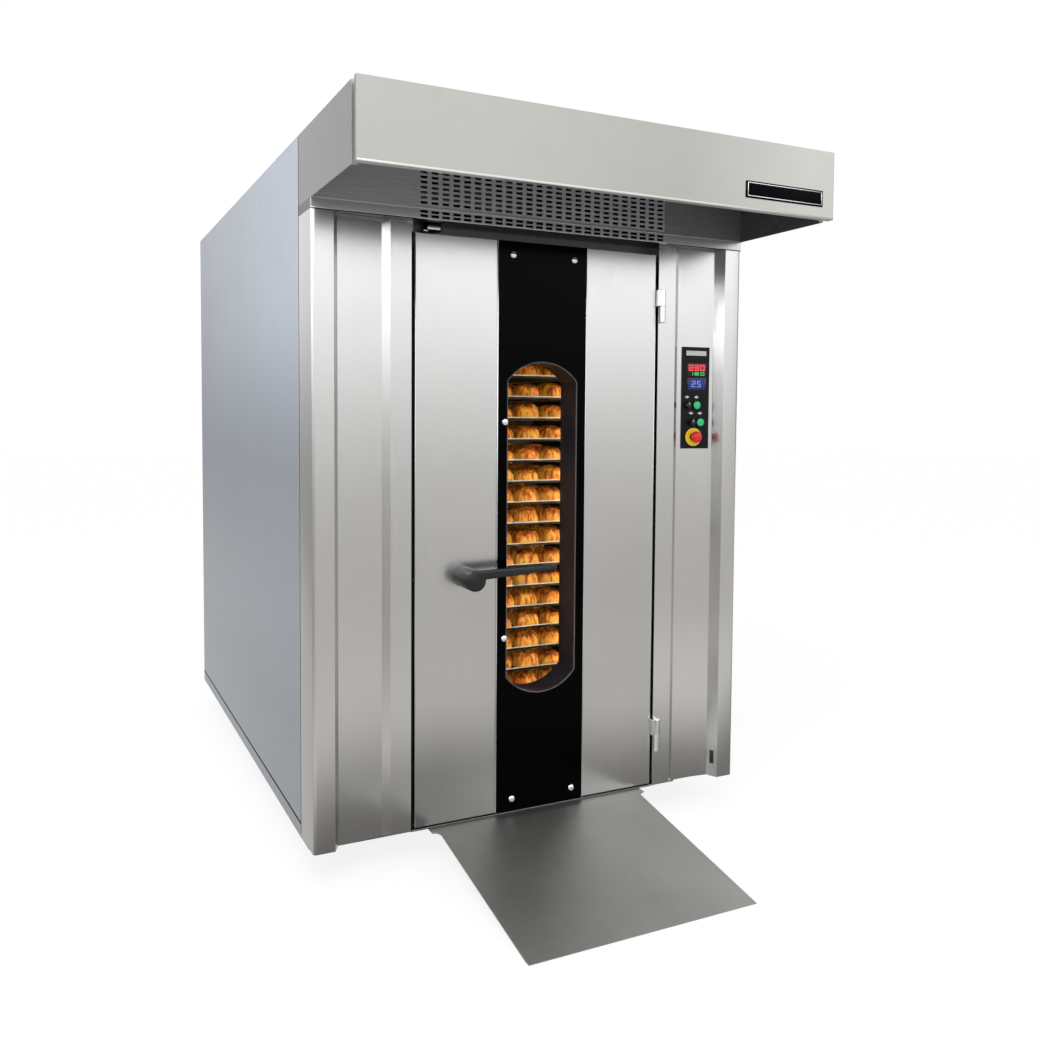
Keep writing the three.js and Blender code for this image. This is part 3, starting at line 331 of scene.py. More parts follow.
def clear_glass(name):
    """A thin pane with a faint haze, so thin that it hardly bends what is behind it."""
    look = Look(name, linear(225, 232, 230), 0.02)
    look.shader.inputs["Transmission Weight"].default_value = 1.0
    look.shader.inputs["IOR"].default_value = 1.02
    look.shader.inputs["Specular IOR Level"].default_value = 0.4
    haze = look.noise(6.0)
    look.feed("Roughness", look.remap(haze, 0.4, 0.7, 0.01, 0.05))
    return look.material


def crust():
    """Bread crust: pale golden sides, dark baked tops and floury cracks, with a faint painted glow in its
    own colour.
    """
    look = Look("bread_crust", linear(205, 125, 45), 0.45)
    baked = look.node("Attribute", attribute_name="bake").outputs["Fac"]
    patches = look.noise(22.0, (1, 1, 1), 5.0, 0.6)
    fine = look.noise(160.0, (1, 1, 1), 4.0, 0.7)
    streaks = look.noise(1.0, (75, 75, 9), 3.0, 0.6)
    amount = look.math("ADD", baked, look.remap(patches, 0.3, 0.7, -0.28, 0.28))
    amount = look.math("ADD", amount, look.remap(streaks, 0.36, 0.66, -0.45, 0.50))
    pale = look.mix(look.remap(amount, 0.1, 0.5, 0.0, 1.0), linear(250, 194, 80), linear(212, 112, 26))
    color = look.mix(look.remap(amount, 0.5, 1.0, 0.0, 1.0), pale, linear(92, 36, 10))
    look.feed("Base Color", color)
    look.feed("Roughness", look.remap(fine, 0.3, 0.7, 0.35, 0.6))
    skin = look.math("ADD", look.product(patches, 0.6), look.product(fine, 0.4))
    look.bump(skin, 0.002)
    # Painted glow: the crust gives off a little light in its own colour.
    look.feed("Emission Color", color)
    look.shader.inputs["Emission Strength"].default_value = 0.10
    return look.material


STEEL_COLOR = linear(203, 202, 200)
LOOKS = {
    "front_steel": steel("front_steel", STEEL_COLOR, "z", 0.22, 0.012, front_shade),
    "side_steel": steel("side_steel", linear(178, 185, 196), "z", 0.30, 0.012, side_shade),
    "hood_steel": steel("hood_steel", linear(161, 160, 155), "x", 0.28, 0.012, hood_shade),
    # A brighter copy of the steel, as painted light for the strip that lies in the hood's shade.
    "lit_header_steel": steel("lit_header_steel", linear(226, 226, 226), "x", 0.34, 0.012, recess_shade, 0.0008),
    "ramp_steel": steel("ramp_steel", linear(142, 142, 138), "y", 0.48, 0.06, cloud=0.11),
    "grille_steel": steel("grille_steel", linear(170, 170, 171), "x", 0.4, 0.04, metallic=0.45),
    "frame_steel": steel("frame_steel", linear(122, 124, 128), "x", 0.55, 0.08),
    # Darker than bare steel: painted shade for the closed chamber's dark inside.
    "liner_steel": steel("liner_steel", linear(52, 50, 49), "z", 0.42, 0.08),
    "rack_steel": steel("rack_steel", linear(188, 186, 182), "z", 0.34, 0.05),
    # Dark coated trays, made darker still as painted shade for the dark bands between the rows.
    "tray_coat": painted("tray_coat", linear(24, 26, 32), 0.55, tone=0.2, Specular_IOR_Level=0.2),
    # Near-white: the rims' bare steel brightened into a painted highlight.
    "rim_steel": painted("rim_steel", linear(236, 240, 250), 0.3, 0.0001, 0.1, 0.03),
    "heater_steel": steel("heater_steel", linear(92, 82, 76), "x", 0.6, 0.12),
    "hinge_steel": steel("hinge_steel", linear(226, 227, 230), "z", 0.16, 0.03),
    "lip_steel": steel("lip_steel", linear(190, 189, 184), "x", 0.3, 0.02),
    "strip_steel": steel("strip_steel", linear(240, 239, 234), "x", 0.3, 0.02),
    "cap_steel": steel("cap_steel", linear(236, 236, 238), "x", 0.18, 0.02),
    "black_glass": painted("black_glass", linear(2, 2, 3), 0.1, 0.0, tone=0.1,
                           Specular_IOR_Level=0.03),
    "reveal": painted("reveal", linear(17, 27, 40), Specular_IOR_Level=0.3),
    "black_plastic": painted("black_plastic", linear(15, 15, 17), 0.3, 0.0003, tone=0.1,
                             Specular_IOR_Level=0.42),
    "plate_black": painted("plate_black", linear(16, 16, 18), 0.3, tone=0.1,
                           Specular_IOR_Level=0.15),
    "seal": painted("seal", linear(8, 8, 9), 0.7, tone=0.1, Specular_IOR_Level=0.1),
    "green": painted("green", linear(30, 160, 105), 0.3, 0.0, tone=0.06,
                     Emission_Color=linear(20, 220, 130), Emission_Strength=0.25),
    "red": painted("red", linear(214, 24, 32), 0.28, 0.0, tone=0.06),
    "yellow": painted("yellow", linear(238, 196, 20), 0.4, 0.0001, tone=0.05),
    "motor_paint": painted("motor_paint", linear(84, 94, 106), 0.45, 0.0004, 0.2),
    "gasket": painted("gasket", linear(40, 40, 41), 0.8, 0.0004),
    "tyre": painted("tyre", linear(44, 44, 46), 0.7, 0.0004),
    "dark_slot": painted("dark_slot", linear(20, 20, 22), 0.6),
    "pale_strip": painted("pale_strip", linear(206, 208, 210), 0.45, 0.0001, tone=0.03),
    "mark_white": painted("mark_white", linear(225, 228, 230), 0.5, 0.0001, tone=0.03),
    "edge_grey": painted("edge_grey", linear(84, 86, 92), 0.3, 0.0, tone=0.05),
    "lens": painted("lens", linear(14, 14, 18), 0.12, 0.0, tone=0.1),
    "red_light": glowing("red_light", linear(255, 40, 50), 1.1),
    "green_light": glowing("green_light", linear(30, 230, 110), 0.9),
    "blue_light": glowing("blue_light", linear(46, 66, 190), 0.75),
    "pale_light": glowing("pale_light", linear(150, 175, 240), 0.8),
    "lamp": glowing("lamp", linear(255, 218, 164), 88.0),
    "window": clear_glass("window"),
    "crust": crust(),
}

NODE_LOOKS = {
    "front_steel": ["left_front_column", "right_front_column", "door_shell"],
    "lit_header_steel": ["door_header"],
    "side_steel": ["left_side_panel", "right_side_panel", "rear_panel", "roof_panel", "chamber_floor"],
    "hood_steel": ["hood_shell"],
    "ramp_steel": ["ramp"],
    "grille_steel": ["hood_grille"],
    "frame_steel": ["base_frame", "turntable"],
    "liner_steel": ["left_liner_wall", "right_liner_wall", "liner_rear", "liner_roof", "fan_impeller"],
    "heater_steel": ["heater_bank"],
    "rack_steel": ["rack_frame", "latch_bolt"],
    "hinge_steel": [
        "lower_hinge_knuckle", "upper_hinge_knuckle", "left_swivel_fork", "right_swivel_fork",
    ],
    "tray_coat": [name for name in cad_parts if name.startswith("tray_")],
    "black_glass": ["door_front_panel"],
    "reveal": ["door_inner_panel"],
    "black_plastic": ["handle_base", "handle_lever", "upper_selector", "lower_selector"],
    "plate_black": ["control_plate"],
    "green": ["upper_button", "lower_button"],
    "red": ["estop_button"],
    "motor_paint": ["fan_motor", "turntable_gearmotor"],
    "gasket": ["door_gasket"],
    "tyre": ["left_front_wheel", "left_rear_wheel", "right_front_wheel", "right_rear_wheel"],
    "window": ["window_glass"],
}
SMOOTH_ANGLE = math.radians(28)
WELD_REACH = 0.00002


def smooth(piece, weld=True):
    """Round faces shade round and corners stay sharp."""
    mesh = piece.data
    mesh.polygons.foreach_set("use_smooth", [True] * len(mesh.polygons))
    if weld:
        join = piece.modifiers.new("weld", "WELD")
        join.merge_threshold = WELD_REACH
    split = piece.modifiers.new("corners", "EDGE_SPLIT")
    split.split_angle = SMOOTH_ANGLE
    mesh.update()


def dress_nodes():
    for look, names in NODE_LOOKS.items():
        for name in names:
            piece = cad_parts[name]
            piece.data.materials.clear()
            piece.data.materials.append(LOOKS[look])
            smooth(piece)


dress_nodes()


# ------------------------------------------------------------------ mesh pieces
def finish_piece(name, shape, look, body):
    """Turns a bmesh into a piece with a look, riding on a body."""
    bmesh.ops.recalc_face_normals(shape, faces=shape.faces)
    mesh = bpy.data.meshes.new(name)
    shape.to_mesh(mesh)
    shape.free()
    mesh.materials.append(LOOKS[look])
    piece = bpy.data.objects.new(name, mesh)
    bpy.context.scene.collection.objects.link(piece)
    smooth(piece, weld=False)
    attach(piece, body)
    return piece


def add_block(shape, low, high, bevel=0.0, turn=None):
    """A box between two corners, its edges rounded, turned by a matrix."""
    low, high = Vector(low), Vector(high)
    size = high - low
    made = bmesh.ops.create_cube(shape, size=1.0)["verts"]
    for vert in made:
        vert.co = Vector([low[i] + (vert.co[i] + 0.5) * size[i] for i in range(3)])
    edges = list({edge for vert in made for edge in vert.link_edges})
    if bevel:
        done = bmesh.ops.bevel(shape, geom=edges, offset=bevel, segments=2, affect="EDGES", profile=0.5)
        made = list({v for v in done["verts"]} | {v for v in made if v.is_valid})
    if turn:
        bmesh.ops.transform(shape, matrix=turn, verts=[v for v in made if v.is_valid])


def border(x0, x1, y0, y1, wide):
    """Opposite corners of the four bars of a rectangular frame."""
    return (
        ((x0, y0), (x1, y0 + wide)), ((x0, y1 - wide), (x1, y1)),
        ((x0, y0 + wide), (x0 + wide, y1 - wide)), ((x1 - wide, y0 + wide), (x1, y1 - wide)),
    )


def add_turned(shape, profile, turn, sides=40):
    """A profile of (radius, height) points turned about local Z, open ends closed on the axis."""
    rings = []
    for radius, height in profile:
        if radius == 0.0:
            rings.append([shape.verts.new(turn @ Vector((0, 0, height)))])
            continue
        ring = []
        for i in range(sides):
            angle = 2 * math.pi * i / sides
            place = Vector((radius * math.cos(angle), radius * math.sin(angle), height))
            ring.append(shape.verts.new(turn @ place))
        rings.append(ring)
    for low, high in zip(rings, rings[1:]):
        for i in range(sides):
            j = (i + 1) % sides
            corners = [low[i % len(low)], low[j % len(low)], high[j % len(high)], high[i % len(high)]]
            shape.faces.new(list(dict.fromkeys(corners)))


# ------------------------------------------------------------------ loaves on the trays
TRAYS = 16
TRAY_RIM = 0.006
TRAY_SHEET = 0.0016
LOAF_COLUMNS, LOAF_ROWS = 5, 5
LOAF_WIDTH, LOAF_LENGTH, LOAF_HEIGHT = 0.108, 0.146, 0.061
LOAF_RINGS, LOAF_STEPS = 14, 18
LOAF_STRAY = 0.004
SLASHES, SLASH_WIDTH, SLASH_DEPTH = (-0.5, 0.0, 0.5), 0.09, 0.006
SLASHED_FROM = 0.75


def add_loaf(shape, layer, x, y, z, chance):
    """One hand-shaped loaf with a flat foot, a domed top and three slashes."""
    width = LOAF_WIDTH / 2 * chance.uniform(0.93, 1.06)
    length = LOAF_LENGTH / 2 * chance.uniform(0.94, 1.04)
    height = LOAF_HEIGHT * chance.uniform(0.9, 1.12)
    turn = chance.uniform(-0.12, 0.12)
    tilt = chance.uniform(-0.15, 0.15)
    grid = []
    for row in range(LOAF_RINGS + 1):
        polar = math.pi / 2 * row / LOAF_RINGS
        ring_size = math.cos(polar) ** 0.62
        rise = math.sin(polar) ** 0.8
        ring = []
        for step in range(LOAF_STEPS):
            angle = 2 * math.pi * step / LOAF_STEPS
            ahead, aside = math.sin(angle), math.cos(angle)
            px = width * ring_size * math.copysign(abs(aside) ** 0.75, aside)
            py = length * ring_size * math.copysign(abs(ahead) ** 0.75, ahead)
            swell = 1 + 0.05 * math.sin(3 * angle + tilt * 20)
            pz = height * rise * (1 + tilt * 0.4 * px / width)
            slash = max(math.exp(-((py / length - s) / SLASH_WIDTH) ** 2) for s in SLASHES)
            pz -= SLASH_DEPTH * slash * (rise > SLASHED_FROM) * ring_size ** 0.3
            co = Vector((px * swell, py * swell, pz))
            co.rotate(Matrix.Rotation(turn, 3, "Z"))
            vert = shape.verts.new(co + Vector((x, y, z)))
            vert[layer] = 0.15 + 0.75 * rise ** 1.5 - 0.35 * slash * (rise > SLASHED_FROM)
            ring.append(vert)
        grid.append(ring)
    for low, high in zip(grid, grid[1:]):
        for i in range(LOAF_STEPS):
            j = (i + 1) % LOAF_STEPS
            shape.faces.new((low[i], low[j], high[j], high[i]))
    shape.faces.new(list(reversed(grid[0])))
    shape.faces.new(grid[-1])


def loaves():
    """A load of loaves on each tray, smooth over all their edges."""
    chance = random.Random(7)
    for level in range(TRAYS):
        low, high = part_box(f"tray_{level + 1:02d}")
        shape = bmesh.new()
        layer = shape.verts.layers.float.new("bake")
        step_x = (high.x - low.x - 2 * TRAY_RIM) / LOAF_COLUMNS
        step_y = (high.y - low.y - 2 * TRAY_RIM) / LOAF_ROWS
        for column in range(LOAF_COLUMNS):
            for row in range(LOAF_ROWS):
                add_loaf(
                    shape, layer,
                    low.x + TRAY_RIM + step_x * (column + 0.5) + chance.uniform(-LOAF_STRAY, LOAF_STRAY),
                    low.y + TRAY_RIM + step_y * (row + 0.5) + chance.uniform(-LOAF_STRAY, LOAF_STRAY),
                    low.z + TRAY_SHEET, chance,
                )
        piece = finish_piece(f"loaves_{level + 1:02d}", shape, "crust", "rack_on_turntable")
        piece.modifiers.clear()


loaves()


def tray_rims():
    """The rolled edge round the top of each tray, near-white as a painted highlight."""
    shape = bmesh.new()
    for level in range(TRAYS):
        low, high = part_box(f"tray_{level + 1:02d}")
        out, wide, tall = 0.0008, 0.003, 0.0035
        for corner, other in border(low.x - out, high.x + out, low.y - out, high.y + out, wide):
            add_block(shape, (*corner, high.z - tall), (*other, high.z + out), out)
    finish_piece("tray_rims", shape, "rim_steel", "rack_on_turntable")


tray_rims()


# ------------------------------------------------------------------ chamber lamps
LAMP = {"inset": 0.145, "half": 0.016, "deep": 0.022, "low": 0.40, "high": 1.78}


def chamber_lamps():
    """An upright light tube behind each side of the door's opening."""
    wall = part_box("right_liner_wall")[0]
    for side, x in (("left", LAMP["inset"] - wall.x), ("right", wall.x - LAMP["inset"])):
        shape = bmesh.new()
        low = (x - LAMP["half"], wall.y + 0.0005, BODY + LAMP["low"])
        high = (x + LAMP["half"], wall.y + LAMP["deep"], BODY + LAMP["high"])
        add_block(shape, low, high, 0.006)
        finish_piece(f"chamber_lamp_{side}", shape, "lamp", "oven")


chamber_lamps()


# ------------------------------------------------------------------ screw caps on the black panel
CAPS = [
    (-0.123, 2.044), (0.128, 2.044), (-0.153, 1.444),
    (-0.152, 0.654), (-0.117, 0.052), (0.134, 0.053),
]
CAP_PROFILE = [
    (0.0, 0.0), (0.0125, 0.0), (0.0125, 0.0025), (0.0105, 0.0055), (0.006, 0.0075), (0.0, 0.008),
]
CAP_SIDES = 28
FORWARD = Matrix.Rotation(math.pi / 2, 4, "X")      # turns local Z towards the front
BACKWARD = Matrix.Rotation(-math.pi / 2, 4, "X")


def screw_caps():
    shape = bmesh.new()
    for x, z in CAPS:
        place = Matrix.Translation((x, PANEL_FACE + 0.0005, BODY + z))
        add_turned(shape, CAP_PROFILE, place @ FORWARD, CAP_SIDES)
    finish_piece("screw_caps", shape, "cap_steel", "door")


screw_caps()


# ------------------------------------------------------------------ edges, seals, seams, painted highlights and a painted shadow line
WINDOW = {"half": 0.144, "radius": 0.181, "low": 0.438, "high": 1.665, "steps": 24}


def window_outline(margin):
    """The window's outline: straight sides and shallow arcs for its ends."""
    half, radius = WINDOW["half"] + margin, WINDOW["radius"] + margin
    swing = math.acos(half / radius)
    low = WINDOW["low"] - margin + radius
    high = WINDOW["high"] + margin - radius
    points = []
    for centre, start, end in (
        (low, math.pi + swing, 2 * math.pi - swing), (high, swing, math.pi - swing),
    ):
        for i in range(WINDOW["steps"] + 1):
            angle = start + (end - start) * i / WINDOW["steps"]
            points.append((radius * math.cos(angle), BODY + centre + radius * math.sin(angle)))
    return points


def window_edge():
    """The polished cut edge of the black panel round the window."""
    shape = bmesh.new()
    outer, inner = window_outline(0.0004), window_outline(-0.0022)
    rings = []
    for points, y in ((outer, 0.0402), (inner, 0.0406), (inner, 0.0463), (outer, 0.0463)):
        rings.append([shape.verts.new((x, FACADE + y, z)) for x, z in points])
    count = len(outer)
    for first, second in zip(rings, rings[1:] + rings[:1]):
        for i in range(count):
            j = (i + 1) % count
            shape.faces.new((first[i], first[j], second[j], second[i]))
    finish_piece("window_edge", shape, "edge_grey", "door")


def edge_highlight_strips():
    """Painted highlights: thin bright strips along the black panel's sides and along the door's edges."""
    shape = bmesh.new()
    low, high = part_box("door_front_panel")
    for x in (low.x - 0.0034, high.x + 0.0002):
        add_block(shape, (x, low.y + 0.0006, low.z), (x + 0.0032, DOOR_FACE + 0.0002, high.z), 0.0006)
    low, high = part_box("door_shell")
    for x in (low.x + 0.0002, high.x - 0.0028):
        add_block(shape, (x, DOOR_FACE - 0.0003, low.z), (x + 0.0026, DOOR_FACE + 0.001, high.z), 0.0004)
    finish_piece("edge_highlight_strips", shape, "hinge_steel", "door")


STRIP_FOOT = 2.1322            # height of the slotted strip's lower fold
DOOR_GAP_END = 0.51            # the painted shadow line under the strip leaves out the door's own width


def seals_and_shadow_line():
    """The seal down the door's left edge, a painted shadow line under the strip, and the door's sweep;
    the dark seal and sweep also paint shade into their gaps.
    """
    shape = bmesh.new()
    # The dark seal also paints shade into the gap beside the door.
    add_block(shape, at(-0.5095, 0.0408, 0.002), at(-0.5045, 0.0428, 2.094), 0.0004)
    # A painted shadow line along the foot of the slotted strip, left and right of the door.
    low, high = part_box("door_header")
    for x0, x1 in ((low.x + 0.001, -DOOR_GAP_END), (DOOR_GAP_END, high.x - 0.001)):
        line_low = (x0, low.y - 0.0004, BODY + STRIP_FOOT - 0.0034)
        add_block(shape, line_low, (x1, low.y + 0.001, BODY + STRIP_FOOT), 0.0003)
    finish_piece("seals_and_shadow_line", shape, "seal", "oven")
    # The dark sweep also paints shade into the gap under the door.
    sweep = bmesh.new()
    low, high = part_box("door_shell")
    sweep_low = (low.x + 0.004, low.y + 0.001, BODY + 0.0012)
    add_block(sweep, sweep_low, (high.x - 0.004, low.y + 0.012, low.z + 0.0006), 0.0005)
    finish_piece("door_sweep", sweep, "seal", "door")


def casing_seams():
    """Narrow sealed joints between the front columns, the hood and the side panels."""
    shape = bmesh.new()
    side = abs(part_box("left_side_panel")[0].x)
    sunk, proud = 0.001, 0.0004
    for x0, x1 in ((-side - proud, -side + sunk), (side - sunk, side + proud)):
        add_block(shape, at(x0, 0.1682, 0.01), at(x1, 0.1712, 2.395))
        add_block(shape, at(x0, 0.1712, 0.0405), at(x1, 2.410, 0.0475))
    finish_piece("casing_seams", shape, "seal", "oven")


window_edge()
edge_highlight_strips()
seals_and_shadow_line()
casing_seams()


# ------------------------------------------------------------------ bare plate and folds on the hood
PLATE = {"left": 0.479, "right": 0.815, "low": 2.205, "high": 2.261, "margin": 0.005, "line": 0.0025}


def hood_plate():
    """A bare black plate with a thin bright line round it."""
    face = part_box("hood_shell")[0].y
    x0, x1, z0, z1 = PLATE["left"], PLATE["right"], BODY + PLATE["low"], BODY + PLATE["high"]
    margin = PLATE["margin"]
    shape = bmesh.new()
    add_block(shape, (x0, face - 0.004, z0), (x1, face + 0.001, z1), 0.0012)
    finish_piece("hood_plate", shape, "black_glass", "oven")
    rim = bmesh.new()
    for low, high in border(x0 + margin, x1 - margin, z0 + margin, z1 - margin, PLATE["line"]):
        add_block(rim, (low[0], face - 0.0048, low[1]), (high[0], face - 0.0035, high[1]), 0.0003)
    finish_piece("hood_plate_rim", rim, "cap_steel", "oven")


def hood_lip():
    """The folded edge along the foot of the hood's front sheet, lighter than the sheet as a painted
    highlight.
    """
    low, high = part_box("hood_shell")
    shape = bmesh.new()
    lip_low = (low.x + 0.001, low.y - 0.0008, low.z - 0.0006)
    add_block(shape, lip_low, (high.x - 0.001, low.y + 0.004, low.z + 0.0075), 0.0006)
    finish_piece("hood_lip", shape, "lip_steel", "oven")


def strip_folds():
    """The folded edges above and below the slotted strip over the door, near-white as painted highlights.
    """
    low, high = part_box("door_header")
    shape = bmesh.new()
    for z0, z1 in ((STRIP_FOOT, STRIP_FOOT + 0.0030), (2.1652, 2.1690)):
        fold_low = (low.x + 0.001, low.y - 0.0007, BODY + z0)
        add_block(shape, fold_low, (high.x - 0.001, low.y + 0.001, BODY + z1), 0.0004)
    finish_piece("strip_folds", shape, "strip_steel", "oven")


def foot_notch():
    """A small dark slot near the foot of the right column's outer slope."""
    shape = bmesh.new()
    slope = Matrix.Rotation(math.atan2(-0.043, 0.022), 4, "Z")
    turn = Matrix.Translation(at(0.781, 0.0215, 0.080)) @ slope
    add_block(shape, (-0.009, -0.0006, -0.027), (0.009, 0.001, 0.027), 0.0004, turn)
    finish_piece("foot_notch", shape, "dark_slot", "oven")


hood_plate()
hood_lip()
strip_folds()
foot_notch()


# ------------------------------------------------------------------ rear of the cabinet
REAR_SCREWS = {"edge": 0.022, "across": 6, "up": 8}
REAR_SCREW_PROFILE = [(0.0, 0.0), (0.0062, 0.0), (0.0062, 0.0012), (0.004, 0.003), (0.0, 0.0036)]
REAR_SCREW_SIDES = 20
COVER = {"half": 0.305, "low": 1.415, "high": 1.985, "screw_inset": 0.025}
LOUVRES = {"rows": 9, "first": 1.50, "pitch": 0.05, "x": 0.115, "half": 0.095, "tall": 0.010}
LOUVRE_TILT = math.radians(-14)


def rear_screws():
    """Domed screws round the rear panel and round the motor's cover."""
    low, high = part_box("rear_panel")
    shape = bmesh.new()
    edge, across, up = REAR_SCREWS["edge"], REAR_SCREWS["across"], REAR_SCREWS["up"]
    places = []
    for i in range(across + 1):
        x = low.x + edge + (high.x - low.x - 2 * edge) * i / across
        places += [(x, low.z + edge), (x, high.z - edge)]
    for i in range(1, up):
        z = low.z + edge + (high.z - low.z - 2 * edge) * i / up
        places += [(low.x + edge, z), (high.x - edge, z)]
    cover_x = COVER["half"] - COVER["screw_inset"]
    for x in (-cover_x, cover_x, 0.0):
        for z in (COVER["low"] + COVER["screw_inset"], COVER["high"] - COVER["screw_inset"]):
            places.append((x, BODY + z))
    for x, z in places:
        place = Matrix.Translation((x, high.y - 0.0002, z))
        add_turned(shape, REAR_SCREW_PROFILE, place @ BACKWARD, REAR_SCREW_SIDES)
    finish_piece("rear_screws", shape, "cap_steel", "oven")


def motor_cover():
    """The motor's access cover on the rear panel, with pressed louvres."""
    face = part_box("rear_panel")[1].y
    shape = bmesh.new()
    cover_low = (-COVER["half"], face - 0.0005, BODY + COVER["low"])
    add_block(shape, cover_low, (COVER["half"], face + 0.0015, BODY + COVER["high"]), 0.0008)
    half, tall = LOUVRES["half"], LOUVRES["tall"]
    for row in range(LOUVRES["rows"]):
        z = BODY + LOUVRES["first"] + LOUVRES["pitch"] * row
        for x in (-LOUVRES["x"], LOUVRES["x"]):
            slat = Matrix.Translation((x, face + 0.0018, z)) @ Matrix.Rotation(LOUVRE_TILT, 4, "X")
            add_block(shape, (-half, -0.0006, -tall), (half, 0.0006, tall), 0.0004, slat)
    finish_piece("motor_cover", shape, "side_steel", "oven")


rear_screws()
motor_cover()


# ------------------------------------------------------------------ control panel details
PANEL_X = 0.692
PANEL_Z = 1.543
FACE_X, FACE_Y = 0.610, 0.062        # a point of the column's sloped face
FACE_SLOPE = math.atan2(-0.019, 0.160)


def panel_turn():
    """Where the control plate's face is: its middle, with X across, Y up and Z outwards."""
    turn = Matrix.Rotation(FACE_SLOPE, 4, "Z") @ FORWARD
    middle = at(PANEL_X, FACE_Y + (PANEL_X - FACE_X) * math.tan(FACE_SLOPE) - 0.0006, PANEL_Z)
    return Matrix.Translation(middle) @ turn


PANEL = panel_turn()
PANEL_TOP = 0.004
LENS_TOP = PANEL_TOP + 0.0008
SEGMENTS = {"0": "abcdef", "1": "bc", "2": "abged", "3": "abgcd", "5": "afgcd", "8": "abcdefg"}


def add_digit(shape, digit, x, y, width, height, line):
    """A seven-segment numeral of thin raised bars on the control plate."""
    half, right = height / 2, width - line
    bars = {
        "a": (0, height - line, width, height), "g": (0, half - line / 2, width, half + line / 2),
        "d": (0, 0, width, line), "f": (0, half, line, height), "b": (right, half, width, height),
        "e": (0, 0, line, half), "c": (right, 0, width, half),
    }
    for bar in SEGMENTS[digit]:
        x0, y0, x1, y1 = bars[bar]
        low, high = (x + x0, y + y0, PANEL_TOP + 0.0006), (x + x1, y + y1, PANEL_TOP + 0.001)
        add_block(shape, low, high, 0.0, PANEL)


def display(name, look, digits, left, foot, step, width, height, line):
    """A row of lit numerals."""
    numerals = bmesh.new()
    for place, digit in enumerate(digits):
        add_digit(numerals, digit, left + step * place, foot, width, height, line)
    finish_piece(name, numerals, look, "oven")


MARKS = ((-0.038, 0.003), (0.004, 0.003), (-0.019, -0.061), (0.021, -0.061))
MARK_ARMS = ((0.009, 0.002), (0.002, 0.006))
RING_PLACE = (-0.007, -0.156, 0)
RING_INNER, RING_OUTER, RING_RIM = 0.0165, 0.036, 0.034
RING_SIDES = 48


def control_details():
    """Displays with numerals, a bare strip, cross-shaped marks and the ring of the stop button."""
    lens = bmesh.new()
    for y0, y1 in ((0.086, 0.137), (0.030, 0.080)):
        add_block(lens, (-0.038, y0, PANEL_TOP), (0.046, y1, LENS_TOP), 0.0003, PANEL)
    finish_piece("display_lenses", lens, "lens", "oven")
    display("display_red", "red_light", "230", -0.033, 0.107, 0.0255, 0.0215, 0.025, 0.0058)
    display("display_green", "green_light", "180", -0.031, 0.0895, 0.0255, 0.018, 0.0125, 0.003)
    blue = bmesh.new()
    add_block(blue, (-0.032, 0.036, PANEL_TOP + 0.0004), (0.040, 0.075, LENS_TOP), 0.0, PANEL)
    finish_piece("display_blue", blue, "blue_light", "oven")
    display("display_pale", "pale_light", "25", -0.018, 0.0435, 0.024, 0.016, 0.024, 0.003)
    strip = bmesh.new()
    add_block(strip, (-0.044, 0.168, PANEL_TOP), (0.046, 0.187, LENS_TOP), 0.0003, PANEL)
    finish_piece("label_strip", strip, "pale_strip", "oven")
    marks = bmesh.new()
    for x, y in MARKS:
        for across, up in MARK_ARMS:
            low, high = (x - across, y - up, PANEL_TOP), (x + across, y + up, PANEL_TOP + 0.0006)
            add_block(marks, low, high, 0.0, PANEL)
    finish_piece("symbol_marks", marks, "mark_white", "oven")
    ring = bmesh.new()
    add_turned(ring, [
        (RING_INNER, PANEL_TOP), (RING_OUTER, PANEL_TOP), (RING_OUTER, PANEL_TOP + 0.0015),
        (RING_RIM, PANEL_TOP + 0.002), (RING_INNER, PANEL_TOP + 0.002), (RING_INNER, PANEL_TOP),
    ], PANEL @ Matrix.Translation(RING_PLACE), RING_SIDES)
    finish_piece("estop_ring", ring, "yellow", "oven")


KNOBS = (
    ("upper_knob_mark", "selector_upper", -0.038, -0.029),
    ("lower_knob_mark", "selector_lower", -0.019, -0.097),
)
KNOB_TOP = PANEL_TOP + 0.004 + 0.0003 + 0.016 + 0.0015


def knob_marks():
    """A white line on the ridge of each selector."""
    for name, body, x, y in KNOBS:
        mark = bmesh.new()
        low, high = (x - 0.0012, y + 0.002, KNOB_TOP - 0.0002), (x + 0.0012, y + 0.0115, KNOB_TOP + 0.0003)
        add_block(mark, low, high, 0.0, PANEL)
        finish_piece(name, mark, "mark_white", body)


control_details()
knob_marks()


# ------------------------------------------------------------------ door switch in the upper recess
SWITCH_Y, SWITCH_Z = 0.075, 2.108


def door_switch():
    """A dark switch body with a bright cover plate and plunger."""
    shape = bmesh.new()
    y, z = FACADE + SWITCH_Y, BODY + SWITCH_Z
    add_block(shape, (-0.438, y - 0.016, z - 0.003), (-0.392, y + 0.018, z + 0.0235), 0.003)
    finish_piece("door_switch", shape, "plate_black", "oven")
    cover = bmesh.new()
    add_block(cover, (-0.446, y - 0.0185, z + 0.002), (-0.398, y - 0.0155, z + 0.014), 0.001)
    add_block(cover, (-0.456, y - 0.006, z - 0.0035), (-0.437, y + 0.006, z + 0.0035), 0.0025)
    finish_piece("door_switch_cover", cover, "cap_steel", "oven")


door_switch()


# ------------------------------------------------------------------ floor, world and lamp
FLOOR_COLOR = (0.9, 0.9, 0.9, 1.0)
FLOOR_GLOSS = (1.0, 0.985, 0.955, 1.0)
FLOOR_REACH = 40.0
FLOOR_SINK = 0.0005
FLOOR_WHITE = 1.06             # what the camera sees of the floor where no shadow falls
FLOOR_WHITE_SHARE = 0.8


